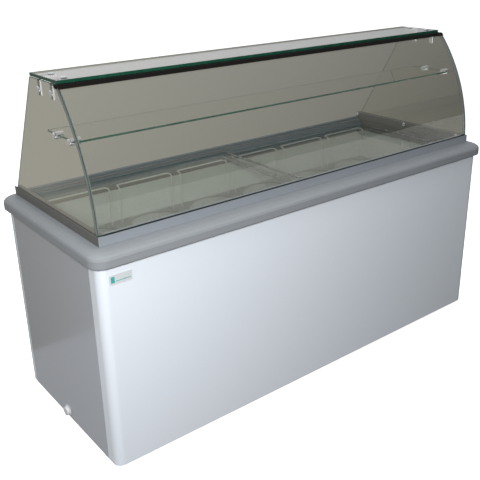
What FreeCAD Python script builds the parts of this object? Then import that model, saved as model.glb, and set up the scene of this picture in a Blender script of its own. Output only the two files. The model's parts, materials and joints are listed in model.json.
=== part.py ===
"""Ice cream dipping cabinet with a glass canopy, twelve tub places and two sliding glass lids.

Millimetres. +X runs along the cabinet to the server's left, +Y towards the server's side,
+Z up. The origin is the middle of the footprint at floor level.
"""
import FreeCAD, Part
import math
import os
import re

import Sketcher

SIZES = {
    # cabinet body
    "body_length": 1760,
    "body_depth": 652,
    "body_height": 684,
    "foot_height": 12,
    "skin": 1.2,
    "front_radius": 28,
    "rear_radius": 12,
    "front_return": 60,
    "rear_return": 28,
    "seam_gap": 1.6,
    "panel_tuck": 4,
    "pan_gap": 0.5,
    "rim_wide": 10,
    "pan_flange": 10,
    "pan_sheet": 2,
    # collar, rails and canopy
    "collar_out": 18,
    "collar_face": 27,
    "collar_rise": 22,
    "collar_wall": 4,
    "collar_front_radius": 46,
    "collar_lip_radius": 6,
    "rail_half_length": 852,
    "rail_front": -290,
    "rail_back": 318,
    "rail_wide": 26,
    "rail_tall": 30,
    "rail_lip": 3,
    "rail_wall": 2,
    "slot_floor": 6,
    "glass_play": 0.2,
    "slot_gap": 0.4,
    "gasket": 0.7,
    "bead_tall": 3,
    "bead_half_length": 838,
    "rear_rail_wide": 16,
    "rear_rail_tall": 12,
    "pane": 6,
    "top_pane": 10,
    "canopy_height": 1187,
    "top_front": -108,
    "top_back": 82,
    "top_half_length": 843,
    "arc_radius": 668.6,
    "arc_centre_depth": 383.2,
    "arc_centre_height": 737.4,
    "front_glass_top": 1172,
    "profile_low": 1166,
    "profile_wall": 2.5,
    "profile_back": -100,
    "side_setback": 14,
    "side_top_front": -97,
    "side_top_back": 72,
    "shelf_height": 1020,
    "shelf_front": -178,
    "shelf_back": 10,
    "shelf_half_length": 833,
    # canopy fittings
    "bracket_front": -75,
    "bracket_back": 11,
    "bracket_wide": 16,
    "bracket_reach": 50,
    "bracket_drop": 48,
    "bracket_thick": 5,
    "cap_radius": 10,
    "cap_thick": 4,
    "stud_radius": 4.6,
    "stud_hole": 5,
    "cap_drop": 30,
    "top_cap_length": 806,
    "clamp_front": -160,
    "clamp_back": -62,
    "clamp_radius": 11,
    "clamp_length": 26,
    "screw_radius": 8,
    # well
    "well_half_length": 818,
    "well_half_depth": 258,
    "well_floor": 82,
    "hump_start": 545,
    "hump_height": 370,
    "coil_gap": 14,
    "ledge_height": 711,
    "ledge_wall": 3,
    "ledge_half_length": 800,
    "ledge_half_depth": 246,
    "lid_bay_half_length": 826,
    "lid_bay_front": -274,
    "lid_bay_back": 288,
    "flange_wide": 10,
    "track_wall": 2,
    "lid_play": 0.3,
    # lids
    "lid_overlap": 44,
    "low_lid_height": 717,
    "high_lid_height": 730,
    "lid_end": 822,
    "trim_wide": 12,
    "trim_thick": 2,
    # tub racks
    "tub_pitch": 264,
    "tub_row": 123,
    "tub_opening": 239,
    "plate_height": 574,
    "plate_thick": 3,
    "hanger_wide": 224,
    "hanger_wire": 5,
    "hanger_bar": 250,
    "hanger_drop": 222,
    "hanger_bend": 12,
    "cradle_height": 410,
    "cradle_spread": 62,
    "cradle_bend": 14,
    "plate_margin": 4,
    # cooling
    "tube_wide": 9.5,
    "coil_stand_off": 3.5,
    "coil_start": 30,
    "coil_pitch": 58,
    "coil_bend": 16,
    "compressor_length": 700,
    "compressor_depth": -80,
    "mount_tall": 15,
    "mount_neck": 4.8,
    "mount_across": 84,
    "mount_along": 74,
    "condenser_start": 600,
    "condenser_end": 824,
    "fan_wide": 200,
    "fan_centre_length": 712,
    "fan_centre_height": 150,
    "motor_radius": 34,
    "shaft_radius": 2.95,
    "line_wide": 8,
    "line_bend": 12,
    # controls
    "control_height": 490,
    "knob_length": 640,
    "knob_radius": 19,
    "switch_length": 730,
    "rocker_pivot_depth": 322,
    "rocker_radius": 11.6,
    "lamp_length": 810,
    "lamp_height": 520,
    "dial_length": 780,
    "dial_height": 455,
    "dial_radius": 20,
    "inlet_length": 490,
    "inlet_height": 78,
    # drain
    "drain_length": -760,
    "drain_depth": 22,
    "drain_height": 36,
    "drain_wide": 24,
    "drain_stub": 8,
    "drain_cap_radius": 16,
}

doc = FreeCAD.newDocument("DippingCabinet")
sheet = doc.addObject("Spreadsheet::Sheet", "Sizes")
for row, (alias, value) in enumerate(SIZES.items(), start=1):
    sheet.set(f"A{row}", alias.replace("_", " "))
    sheet.set(f"B{row}", str(value))
    sheet.setAlias(f"B{row}", alias)
doc.recompute()

NODES = {}
PLANES = {"plan": "XY_Plane", "front": "XZ_Plane", "side": "YZ_Plane"}


# ---------------------------------------------------------------- helpers
def ref(text):
    """Expression text in which each size of the sheet is written with the sheet's name."""
    return re.sub(r"[a-z_]+", lambda m: f"Sizes.{m.group()}" if m.group() in SIZES else m.group(), str(text))


def val(text):
    """The number that an expression stands for now."""
    return float(sheet.evalExpression(ref(text)))


def point(x, y, z):
    return FreeCAD.Vector(val(x), val(y), val(z))


def keep(node, thing):
    """Record a document object as one sub-part."""
    thing.Label = node
    NODES[node] = thing
    return thing


def place(thing, x, y, z):
    """Bind an object's position to the sheet."""
    for axis, text in zip("xyz", (x, y, z)):
        thing.setExpression(f"Placement.Base.{axis}", ref(text))
    return thing


def box(name, xs, ys, zs):
    """A box between pairs of bounds."""
    thing = doc.addObject("Part::Box", name)
    for prop, (low, high) in zip(("Length", "Width", "Height"), (xs, ys, zs)):
        thing.setExpression(prop, ref(f"({high}) - ({low})"))
    return place(thing, xs[0], ys[0], zs[0])


TURNS = {
    "x": FreeCAD.Rotation(FreeCAD.Vector(0, 1, 0), 90),
    "y": FreeCAD.Rotation(FreeCAD.Vector(1, 0, 0), -90),
    "z": FreeCAD.Rotation(),
}


def rod(name, axis, start, length, radius):
    """A cylinder that runs from start along +axis."""
    thing = doc.addObject("Part::Cylinder", name)
    thing.Placement = FreeCAD.Placement(FreeCAD.Vector(), TURNS[axis])
    thing.setExpression("Radius", ref(radius))
    thing.setExpression("Height", ref(length))
    return place(thing, *start)


def cut(name, base, tools):
    """The base less each of the tools."""
    for count, tool in enumerate(tools, start=1):
        step = doc.addObject("Part::Cut", f"{name}_cut{count}")
        step.Base = base
        step.Tool = tool
        base = step
    return base


def fuse(name, things):
    joined = doc.addObject("Part::MultiFuse", f"{name}_joined")
    joined.Shapes = things
    joined.Refine = True
    return joined


def group(name, things):
    """Separate solids that share one node."""
    together = doc.addObject("Part::Compound", f"{name}_group")
    together.Links = things
    return together


def new_body(name):
    return doc.addObject("PartDesign::Body", name)


def sketch_on(body, plane, offset):
    """A sketch on one of the body's own origin planes, moved along the plane's normal."""
    sketch = body.newObject("Sketcher::SketchObject", f"{body.Name}_outline")
    support = [f for f in body.Origin.OriginFeatures if f.Role == PLANES[plane]][0]
    sketch.AttachmentSupport = [(support, "")]
    sketch.MapMode = "FlatFace"
    sketch.setExpression("AttachmentOffset.Base.z", ref(offset))
    return sketch


def pin(sketch, kind, geo, pos, text):
    """Bind one coordinate of a sketch point to the sheet."""
    number = sketch.addConstraint(Sketcher.Constraint(kind, -1, 1, geo, pos, val(text)))
    sketch.setExpression(f"Constraints[{number}]", ref(text))


def polygon(points):
    """A closed outline with straight sides."""
    def draw(sketch):
        first = sketch.GeometryCount
        count = len(points)
        corners = [point(across, up, 0) for across, up in points]
        for i in range(count):
            sketch.addGeometry(Part.LineSegment(corners[i], corners[(i + 1) % count]), False)
        for i in range(count):
            sketch.addConstraint(Sketcher.Constraint("Coincident", first + i, 2, first + (i + 1) % count, 1))
        for i, (across, up) in enumerate(points):
            pin(sketch, "DistanceX", first + i, 1, across)
            pin(sketch, "DistanceY", first + i, 1, up)
    return draw


def rectangle(left, right, low, high):
    return polygon([(left, low), (right, low), (right, high), (left, high)])


def rounded(left, right, low, high, low_radius, high_radius):
    """A rectangle with rounded corners: one radius at the low side and one at the high side."""
    def draw(sketch):
        first = sketch.GeometryCount
        x0, x1, y0, y1 = val(left), val(right), val(low), val(high)
        ra, rb = val(low_radius), val(high_radius)
        ends = [((x0 + ra, y0), (x1 - ra, y0)), ((x1, y0 + ra), (x1, y1 - rb)),
                ((x1 - rb, y1), (x0 + rb, y1)), ((x0, y1 - rb), (x0, y0 + ra))]
        for start, end in ends:
            sketch.addGeometry(Part.LineSegment(FreeCAD.Vector(*start, 0), FreeCAD.Vector(*end, 0)), False)
        centres = [(x1 - ra, y0 + ra, ra, 270), (x1 - rb, y1 - rb, rb, 0),
                   (x0 + rb, y1 - rb, rb, 90), (x0 + ra, y0 + ra, ra, 180)]
        for x, y, r, angle in centres:
            circle = Part.Circle(FreeCAD.Vector(x, y, 0), FreeCAD.Vector(0, 0, 1), r)
            start = math.radians(angle)
            sketch.addGeometry(Part.ArcOfCircle(circle, start, start + math.pi / 2), False)
        for i in range(4):
            arc = first + 4 + i
            sketch.addConstraint(Sketcher.Constraint("Tangent", first + i, 2, arc, 1))
            sketch.addConstraint(Sketcher.Constraint("Tangent", arc, 2, first + (i + 1) % 4, 1))
            radius = low_radius if i in (0, 3) else high_radius
            number = sketch.addConstraint(Sketcher.Constraint("Radius", arc, val(radius)))
            sketch.setExpression(f"Constraints[{number}]", ref(radius))
        for i, kind in enumerate(("Horizontal", "Vertical", "Horizontal", "Vertical")):
            sketch.addConstraint(Sketcher.Constraint(kind, first + i))
        pin(sketch, "DistanceY", first, 1, low)
        pin(sketch, "DistanceX", first + 1, 1, right)
        pin(sketch, "DistanceY", first + 2, 1, high)
        pin(sketch, "DistanceX", first + 3, 1, left)
    return draw


def circles(places):
    """Round outlines, each given as centre and radius."""
    def draw(sketch):
        for across, up, radius in places:
            centre = point(across, up, 0)
            geo = sketch.addGeometry(Part.Circle(centre, FreeCAD.Vector(0, 0, 1), val(radius)), False)
            pin(sketch, "DistanceX", geo, 3, across)
            pin(sketch, "DistanceY", geo, 3, up)
            number = sketch.addConstraint(Sketcher.Constraint("Radius", geo, val(radius)))
            sketch.setExpression(f"Constraints[{number}]", ref(radius))
    return draw


def several(*draws):
    """Several closed outlines in one sketch."""
    def draw(sketch):
        for one in draws:
            one(sketch)
    return draw


def extrude(body, kind, plane, outline, low, high):
    """A pad or pocket of an outline between two heights along the plane's world axis."""
    offset = low if plane != "front" else f"-({high})"
    sketch = sketch_on(body, plane, offset)
    outline(sketch)
    feature = body.newObject(f"PartDesign::{kind}", f"{body.Name}_{kind}")
    feature.Profile = sketch
    feature.setExpression("Length", ref(f"({high}) - ({low})"))
    if kind == "Pocket":
        feature.Reversed = True
        doc.recompute()
        if feature.BaseFeature.Shape.Volume - feature.Shape.Volume < 1:
            raise ValueError(f"{body.Name}: a pocket cuts nothing")
    else:
        doc.recompute()
    return feature


def pad(body, plane, outline, low, high):
    return extrude(body, "Pad", plane, outline, low, high)


def pocket(body, plane, outline, low, high):
    return extrude(body, "Pocket", plane, outline, low, high)


def turned(name, profile):
    """A solid of revolution from an outline in the plane X-Z, about Z."""
    body = new_body(name)
    sketch = sketch_on(body, "front", "0")
    polygon(profile)(sketch)
    revolution = body.newObject("PartDesign::Revolution", f"{name}_turn")
    revolution.Profile = sketch
    revolution.ReferenceAxis = (sketch, ["V_Axis"])
    revolution.Angle = 360
    doc.recompute()
    return body


def bent_tube(points, bend, wide):
    """A round tube or wire along straight runs joined by tangent arcs."""
    edges = []
    start = points[0]
    for i in range(1, len(points) - 1):
        here = points[i]
        back = (points[i - 1] - here).normalize()
        ahead = (points[i + 1] - here).normalize()
        half = back.getAngle(ahead) / 2
        reach = bend / math.tan(half)
        middle = (back + ahead).normalize() * (bend / math.sin(half) - bend)
        enter = here + back * reach
        leave = here + ahead * reach
        edges.append(Part.LineSegment(start, enter).toShape())
        edges.append(Part.Arc(enter, here + middle, leave).toShape())
        start = leave
    edges.append(Part.LineSegment(start, points[-1]).toShape())
    path = Part.Wire(edges)
    section = Part.Wire([Part.Circle(points[0], points[1] - points[0], wide / 2).toShape()])
    solid = path.makePipeShell([section], True, False)
    if abs(solid.Volume / (math.pi * wide * wide / 4 * path.Length) - 1) > 0.02:
        raise ValueError("a bent tube has the wrong volume")
    return solid


def shaped(node, shape):
    """A sub-part whose shape is made in code from the sheet's sizes."""
    thing = doc.addObject("Part::Feature", node)
    thing.Shape = shape
    thing.Placement = shape.Placement
    return keep(node, thing)


BODY_LOW = "foot_height"
LIP = "(foot_height + body_height)"
DECK = "(foot_height + body_height + collar_face + collar_rise)"
HALF_X = "(body_length / 2)"
HALF_Y = "(body_depth / 2)"
PANEL_TOP = f"({LIP} + panel_tuck)"
FACE = HALF_Y
SIDES = (("left", -1), ("right", 1))
GLASS_PLAY = "glass_play"
GLASS_FOOT = f"({DECK} + slot_floor + {GLASS_PLAY})"
GLASS_OUTER = f"(rail_half_length - rail_lip - {GLASS_PLAY})"
GLASS_INNER = f"({GLASS_OUTER} - pane)"
BRACKET_ROWS = ("bracket_front", "bracket_back")
SIDE_CAPS = [(row, "(canopy_height - top_pane - cap_drop)") for row in BRACKET_ROWS]
SHELF_CLAMPS = [(row, "(shelf_height + pane / 2)") for row in ("clamp_front", "clamp_back")]
DECK_OPENING = ("-lid_bay_half_length - flange_wide", "lid_bay_half_length + flange_wide",
                "lid_bay_front - 6", "lid_bay_back + flange_wide")
COIL_TURNS = 5
FAN_BLADES = 5


# ---------------------------------------------------------------- body panels
def pan_outline(grow):
    """Plan outline of what sits inside the panels, a little smaller by the growth."""
    inset = f"(skin + pan_gap + {grow})"
    return rounded(f"-{HALF_X} + {inset}", f"{HALF_X} - {inset}",
                   f"-{HALF_Y} + {inset}", f"{HALF_Y} - {inset}",
                   f"front_radius - 2 - {grow}", f"rear_radius - 2 - {grow}")


def base_pan():
    body = new_body("base_pan")
    pad(body, "plan", pan_outline("0"), BODY_LOW, f"{BODY_LOW} + pan_flange")
    pocket(body, "plan", pan_outline("pan_sheet"), f"{BODY_LOW} + pan_sheet", f"{BODY_LOW} + pan_flange + 1")
    keep("base_pan", body)


def shell_ring(body, top):
    """The sheet-metal wall of the whole cabinet, as a ring in plan."""
    pad(body, "plan", rounded(f"-{HALF_X}", HALF_X, f"-{HALF_Y}", HALF_Y, "front_radius", "rear_radius"),
        BODY_LOW, top)
    pocket(body, "plan", rounded(f"-{HALF_X} + skin", f"{HALF_X} - skin", f"-{HALF_Y} + skin",
                                 f"{HALF_Y} - skin", "front_radius - skin", "rear_radius - skin"),
           f"{BODY_LOW} - 1", f"{top} + 1")


def front_panel():
    body = new_body("front_panel")
    shell_ring(body, PANEL_TOP)
    pocket(body, "plan", rectangle("-body_length", "body_length", f"-{HALF_Y} + front_return", "body_depth"),
           "0", f"{PANEL_TOP} + 1")
    keep("front_panel", body)


def rear_panel():
    """The sheet on the server's side, with openings behind the grille, the controls and the inlet."""
    body = new_body("rear_panel")
    shell_ring(body, PANEL_TOP)
    pocket(body, "plan", rectangle("-body_length", "body_length", "-body_depth", f"{HALF_Y} - rear_return"),
           "0", f"{PANEL_TOP} + 1")
    pocket(body, "front", several(rectangle("590", "840", "40", "270"), rectangle("560", "840", "420", "560"),
                                  rectangle("476", "504", "66", "90")),
           f"{HALF_Y} - 5", f"{HALF_Y} + 5")
    keep("rear_panel", body)


def side_panels():
    """The end sheets: the left one lets the drain out, the right one is louvred beside the cooling unit."""
    ys = (f"-{HALF_Y} + front_return + seam_gap", f"{HALF_Y} - rear_return - seam_gap")
    for side, sign in SIDES:
        body = new_body(f"{side}_side_panel")
        xs = (f"-{HALF_X}", f"-{HALF_X} + skin") if sign < 0 else (f"{HALF_X} - skin", HALF_X)
        pad(body, "side", rectangle(*ys, BODY_LOW, PANEL_TOP), *xs)
        if sign < 0:
            pocket(body, "side", circles([("drain_depth", "drain_height", "drain_wide / 2 + 5")]),
                   f"-{HALF_X} - 1", f"-{HALF_X} + 5")
        else:
            slots = [rectangle(f"{y} - 45", f"{y} + 45", f"{z} - 3", f"{z} + 3")
                     for y in (-60, 60) for z in range(90, 271, 18)]
            pocket(body, "side", several(*slots), f"{HALF_X} - 5", f"{HALF_X} + 5")
        keep(f"{side}_side_panel", body)


def liner_outline(grow):
    """Side-on outline of the tank with its raised floor over the cooling unit."""
    return [(f"-well_half_length - {grow}", f"well_floor - {grow}"),
            (f"hump_start + {grow}", f"well_floor - {grow}"),
            (f"hump_start + {grow}", f"hump_height - {grow}"),
            (f"well_half_length + {grow}", f"hump_height - {grow}"),
            (f"well_half_length + {grow}", "ledge_height + 20"),
            (f"-well_half_length - {grow}", "ledge_height + 20")]


def inner_liner():
    body = new_body("inner_liner")
    rim = "(ledge_height - ledge_wall)"
    across = ("-well_half_length", "well_half_length")
    pad(body, "front", polygon(liner_outline("skin")), "-well_half_depth - skin", "well_half_depth + skin")
    pocket(body, "plan", rectangle("-body_length", "body_length", "-body_depth", "body_depth"),
           rim, "ledge_height + 30")
    pad(body, "plan", rectangle(f"{across[0]} - rim_wide", f"{across[1]} + rim_wide",
                                "-well_half_depth - rim_wide", "well_half_depth + rim_wide"),
        f"{rim} - skin", rim)
    pocket(body, "front", polygon(liner_outline("0")), "-well_half_depth", "well_half_depth")
    pocket(body, "plan", circles([("drain_length", "drain_depth", "drain_wide / 2")]),
           "well_floor - 5", "well_floor + 5")
    keep("inner_liner", body)


def foam_insulation():
    """The foam between panels and liner, cut away for the coil, cooling unit, controls and drain."""
    body = new_body("foam_insulation")
    gap = "(skin + coil_gap)"
    bore = "drain_wide / 2 + 6"
    pad(body, "plan", pan_outline("0"), f"{BODY_LOW} + pan_flange + 1", "ledge_height - 20")
    pocket(body, "front", polygon(liner_outline(gap)),
           f"-well_half_depth - {gap}", f"well_half_depth + {gap}")
    pocket(body, "plan", rectangle("hump_start + 45", "body_length", "-body_depth", "body_depth"),
           "0", "hump_height - 50")
    pocket(body, "side", circles([("drain_depth", "drain_height", bore)]),
           "-body_length", "drain_length + 15")
    pocket(body, "plan", circles([("drain_length", "drain_depth", bore)]), "0", "well_floor")
    pocket(body, "front", rectangle("560", "840", "420", "560"), f"{HALF_Y} - 36", HALF_Y)
    pocket(body, "front", rectangle("470", "510", "58", "98"), f"{HALF_Y} - 28", HALF_Y)
    keep("foam_insulation", body)


def evaporator_coil():
    """A tube that passes five times round the tank's upper half, with its turns at the back."""
    reach = val("skin + tube_wide / 2 + coil_stand_off")
    side = val("well_half_length") + reach
    face = val("well_half_depth") + reach
    route = []
    for turn in range(COIL_TURNS):
        low = val(f"hump_height + coil_start + coil_pitch * {turn}")
        route += [FreeCAD.Vector(-side + 60, face, low), FreeCAD.Vector(-side, face, low),
                  FreeCAD.Vector(-side, -face, low), FreeCAD.Vector(side, -face, low),
                  FreeCAD.Vector(side, face, low), FreeCAD.Vector(-side + 140, face, low)]
    shaped("evaporator_coil", bent_tube(route, val("coil_bend"), val("tube_wide")))


# ---------------------------------------------------------------- collar, breaker strip and tracks
def collar_section(body, grow, share):
    """One level of the collar's outer moulding, from its face (share 0) to its deck (share 1)."""
    lean = 1 - math.cos(math.radians(90 * share))
    rise = math.sin(math.radians(90 * share))
    sketch = sketch_on(body, "plan", f"{LIP} + collar_face + collar_rise * {rise:.4f} - ({grow})")
    out = "collar_out"

    def between(first, last):
        return f"({first}) + (({last}) - ({first})) * {lean:.4f}"

    rounded(between(f"-{HALF_X} - {out} + {grow}", f"-rail_half_length + {grow}"),
            between(f"{HALF_X} + {out} - {grow}", f"rail_half_length - {grow}"),
            between(f"-{HALF_Y} - {out} + {grow}", f"rail_front + {grow}"),
            between(f"{HALF_Y} + {out} - {grow}", f"rail_back + 2 - {grow}"),
            between(f"collar_front_radius - {grow}", "12"),
            between(f"rear_radius + {out} - {grow}", "8"))(sketch)
    return sketch


def collar_loft(body, kind, grow):
    shares = [step / 5 for step in range(6)]
    sketches = [collar_section(body, grow, share) for share in shares]
    loft = body.newObject(f"PartDesign::{kind}", f"{body.Name}_slope")
    loft.Profile = sketches[0]
    loft.Sections = sketches[1:]
    loft.Ruled = True
    doc.recompute()
    return loft


def top_collar():
    """Moulded shell round the cabinet's top: upright face, then a slope that curves in to the deck."""
    body = new_body("top_collar")
    out = "collar_out"
    wall = "collar_wall"
    block = pad(body, "plan", rounded(f"-{HALF_X} - {out}", f"{HALF_X} + {out}", f"-{HALF_Y} - {out}",
                                      f"{HALF_Y} + {out}", "collar_front_radius", f"rear_radius + {out}"),
                LIP, f"{LIP} + collar_face")
    lip = [f"Edge{i + 1}" for i, edge in enumerate(block.Shape.Edges) if edge.BoundBox.ZMax < val(LIP) + 1e-3]
    rounding = body.newObject("PartDesign::Fillet", "lip_round")
    rounding.Base = (block, lip)
    rounding.setExpression("Radius", ref("collar_lip_radius"))
    doc.recompute()
    collar_loft(body, "AdditiveLoft", "0")
    pocket(body, "plan", rounded(f"-{HALF_X}", HALF_X, f"-{HALF_Y}", HALF_Y, "front_radius", "rear_radius"),
           f"{LIP} - 1", f"{LIP} + {wall}")
    pocket(body, "plan", rounded(f"-{HALF_X} - {out} + {wall}", f"{HALF_X} + {out} - {wall}",
                                 f"-{HALF_Y} - {out} + {wall}", f"{HALF_Y} + {out} - {wall}",
                                 f"collar_front_radius - {wall}", f"rear_radius + {out} - {wall}"),
           f"{LIP} + {wall}", f"{LIP} + collar_face - {wall}")
    collar_loft(body, "SubtractiveLoft", wall)
    pocket(body, "plan", rectangle(*DECK_OPENING), LIP, f"{DECK} + 5")
    keep("top_collar", body)


def breaker_strip():
    """Plastic frame that lines the mouth of the well and carries the lid tracks."""
    body = new_body("breaker_strip")
    wall = "ledge_wall"
    outer = (f"-lid_bay_half_length - {wall}", f"lid_bay_half_length + {wall}", f"lid_bay_front - {wall}",
             f"lid_bay_back + {wall}")
    apron = (f"-ledge_half_length - {wall}", f"ledge_half_length + {wall}", f"-ledge_half_depth - {wall}",
             f"ledge_half_depth + {wall}")
    pad(body, "plan", rectangle(*outer), f"ledge_height - {wall}", DECK)
    pad(body, "plan", rectangle(*DECK_OPENING), f"{DECK} - collar_wall", DECK)
    pad(body, "plan", rectangle(*apron), f"{LIP} + 2", f"ledge_height - {wall}")
    pocket(body, "plan", rectangle("-lid_bay_half_length", "lid_bay_half_length", "lid_bay_front",
                                   "lid_bay_back"), "ledge_height", f"{DECK} + 5")
    pocket(body, "plan", rectangle("-ledge_half_length", "ledge_half_length", "-ledge_half_depth",
                                   "ledge_half_depth"), f"{LIP} - 5", "ledge_height + 5")
    keep("breaker_strip", body)


def lid_tracks():
    """Two-step runners: the low lid runs on the inner step and the high lid on the outer one."""
    steps = (("rear_lid_track", "lid_bay_back", "-1", "12", "22"),
             ("front_lid_track", "lid_bay_front", "1", "11.5", "18.5"))
    low = "(low_lid_height - lid_play)"
    high = "(high_lid_height - lid_play)"
    wall = f"({DECK} - 1)"
    reach = ("-lid_bay_half_length", "lid_bay_half_length")
    for name, edge, sign, step, inner in steps:
        def at(across, up):
            return (f"{edge} + {sign} * {across}", up)
        body = new_body(name)
        outline = polygon([at("0", "ledge_height"), at(inner, "ledge_height"), at(inner, low), at(step, low),
                           at(step, high), at("track_wall", high), at("track_wall", wall), at("0", wall)])
        pad(body, "side", outline, *reach)
        keep(name, body)


# ---------------------------------------------------------------- glass rails
def rail_outline(sign, face, slot):
    """Section of a glass rail: a slot for the pane near its outer face and a hollow behind it."""
    def at(across, up):
        return (f"{face} - ({sign}) * ({across})", f"{DECK} + {up}")
    return polygon([at("0", "0"), at("rail_wide", "0"), at("rail_wide", "rail_tall"),
                    at(f"rail_lip + {slot}", "rail_tall"), at(f"rail_lip + {slot}", "slot_floor"),
                    at("rail_lip", "slot_floor"), at("rail_lip", "rail_tall"), at("0", "rail_tall")])


def rail_hollow(sign, face, slot):
    """Section of the chamber behind a glass rail's slot."""
    def at(across, up):
        return (f"{face} - ({sign}) * ({across})", f"{DECK} + {up}")
    start, end = f"rail_lip + {slot} + rail_wall", "rail_wide - rail_wall"
    return polygon([at(start, "rail_wall"), at(end, "rail_wall"),
                    at(end, "rail_tall - rail_wall"), at(start, "rail_tall - rail_wall")])


def front_glass_rail():
    """The long rail, mitred at both ends."""
    body = new_body("front_glass_rail")
    reach = ("-rail_half_length", "rail_half_length")
    slot = "pane + 3"
    pad(body, "side", rail_outline(-1, "rail_front", slot), *reach)
    pocket(body, "side", rail_hollow(-1, "rail_front", slot), f"{reach[0]} - 1", f"{reach[1]} + 1")
    behind = "rail_front + rail_wide"
    for sign in (-1, 1):
        tip = f"{sign} * rail_half_length"
        inner = f"{sign} * (rail_half_length - rail_wide)"
        waste = polygon([(f"{tip} + {sign}", "rail_front"), (tip, "rail_front"), (inner, behind),
                         (inner, f"{behind} + 5"), (f"{tip} + {sign}", f"{behind} + 5")])
        pocket(body, "plan", waste, f"{DECK} - 1", f"{DECK} + rail_tall + 1")
    keep("front_glass_rail", body)


def end_glass_rails():
    """The two end rails, mitred at the front and square at the back."""
    slot = "pane + 1"
    behind = "rail_front + rail_wide"
    for side, sign in SIDES:
        body = new_body(f"{side}_glass_rail")
        face = f"{sign} * rail_half_length"
        inner = f"{sign} * (rail_half_length - rail_wide)"
        past = f"{inner} - {sign} * 5"
        pad(body, "front", rail_outline(sign, face, slot), "rail_front", "rail_back")
        pocket(body, "front", rail_hollow(sign, face, slot), "rail_front - 1", "rail_back + 1")
        waste = polygon([(face, "rail_front"), (inner, behind), (past, behind),
                         (past, "rail_front - 5"), (face, "rail_front - 5")])
        pocket(body, "plan", waste, f"{DECK} - 1", f"{DECK} + rail_tall + 1")
        keep(f"{side}_glass_rail", body)


def rear_rail():
    """The low box section along the server's side."""
    body = new_body("rear_rail")
    reach = ("-rail_half_length + rail_wide", "rail_half_length - rail_wide")
    low = "rail_back - rear_rail_wide"
    high = f"{DECK} + rear_rail_tall"
    pad(body, "side", rectangle(low, "rail_back", DECK, high), *reach)
    hollow = rectangle(f"{low} + rail_wall", "rail_back - rail_wall",
                       f"{DECK} + rail_wall", f"{high} - rail_wall")
    pocket(body, "side", hollow, "-rail_half_length", "rail_half_length")
    keep("rear_rail", body)


# ---------------------------------------------------------------- canopy glass
def arc_point(radius, height):
    """Depth of the canopy's front curve at a height."""
    rise = height - val("arc_centre_height")
    return val("arc_centre_depth") - math.sqrt(radius * radius - rise * rise)


def arc_edge(radius, low, high):
    middle = (low + high) / 2
    spots = [FreeCAD.Vector(0, arc_point(radius, height), height) for height in (low, middle, high)]
    return Part.Arc(*spots).toShape(), spots[0], spots[2]


def swung_sheet(radius, thick, low, high, reach):
    """A pane bent to part of a cylinder about an axis along X."""
    centre = FreeCAD.Vector(0, val("arc_centre_depth"), val("arc_centre_height"))
    outer, low_out, high_out = arc_edge(radius, low, high)
    low_in = low_out + (centre - low_out).normalize() * thick
    high_in = high_out + (centre - high_out).normalize() * thick
    middle = FreeCAD.Vector(0, arc_point(radius, (low + high) / 2), (low + high) / 2)
    middle_in = middle + (centre - middle).normalize() * thick
    inner = Part.Arc(high_in, middle_in, low_in).toShape()
    wire = Part.Wire([outer, Part.LineSegment(high_out, high_in).toShape(), inner,
                      Part.LineSegment(low_in, low_out).toShape()])
    sheet_solid = Part.Face(wire).extrude(FreeCAD.Vector(2 * reach, 0, 0))
    sheet_solid.translate(FreeCAD.Vector(-reach, 0, 0))
    return sheet_solid


def front_glass():
    """The curved pane: full length above the rails, with its foot let into the front rail's slot."""
    low = val(GLASS_FOOT)
    reach = val("rail_half_length - rail_lip")
    pane = swung_sheet(val("arc_radius"), val("pane"), low, val("front_glass_top"), reach)
    foot = val("rail_half_length - rail_lip - pane - 2.5")
    clear = val(f"{DECK} + rail_tall + slot_gap") - low
    for sign in (-1, 1):
        corner = FreeCAD.Vector(foot if sign > 0 else -reach - 5, -400, low - 5)
        pane = pane.cut(Part.makeBox(reach + 5 - foot, 300, clear + 5, corner))
    shaped("front_glass", pane)


def side_glasses():
    """The end panes: front edge on the canopy's curve, back edge sloped, drilled for the fittings."""
    low = val(GLASS_FOOT)
    top = val(f"canopy_height - top_pane - {GLASS_PLAY}")
    notch = val("profile_low - slot_gap")
    radius = val("arc_radius - side_setback")
    front = val("side_top_front")
    edge, foot, crown = arc_edge(radius, low, notch)
    back = val("side_top_back")
    corners = [crown, FreeCAD.Vector(0, front, notch), FreeCAD.Vector(0, front, top),
               FreeCAD.Vector(0, back, top), FreeCAD.Vector(0, val("rail_back - 3"), low), foot]
    edges = [edge] + [Part.LineSegment(a, b).toShape() for a, b in zip(corners, corners[1:])]
    plate = Part.Face(Part.Wire(edges)).extrude(FreeCAD.Vector(val("pane"), 0, 0))
    for y, z in SIDE_CAPS + SHELF_CLAMPS:
        start = FreeCAD.Vector(-5, val(y), val(z))
        plate = plate.cut(Part.makeCylinder(val("stud_hole"), 20, start, FreeCAD.Vector(1, 0, 0)))
    for side, sign in SIDES:
        pane = plate.copy()
        outer = val(GLASS_OUTER)
        shift = -outer if sign < 0 else outer - val("pane")
        pane.translate(FreeCAD.Vector(shift, 0, 0))
        shaped(f"{side}_side_glass", pane)


def top_glass():
    body = new_body("top_glass")
    pad(body, "plan", rectangle("-top_half_length", "top_half_length", "top_front", "top_back"),
        "canopy_height - top_pane", "canopy_height")
    holes = [(f"{sign} * top_cap_length", y, "stud_hole") for sign in (-1, 1) for y in BRACKET_ROWS]
    pocket(body, "plan", circles(holes), "canopy_height - top_pane - 5", "canopy_height + 5")
    keep("top_glass", body)


def glass_shelf():
    keep("glass_shelf", box("glass_shelf", ("-shelf_half_length", "shelf_half_length"),
                            ("shelf_front", "shelf_back"), ("shelf_height", "shelf_height + pane")))


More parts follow.
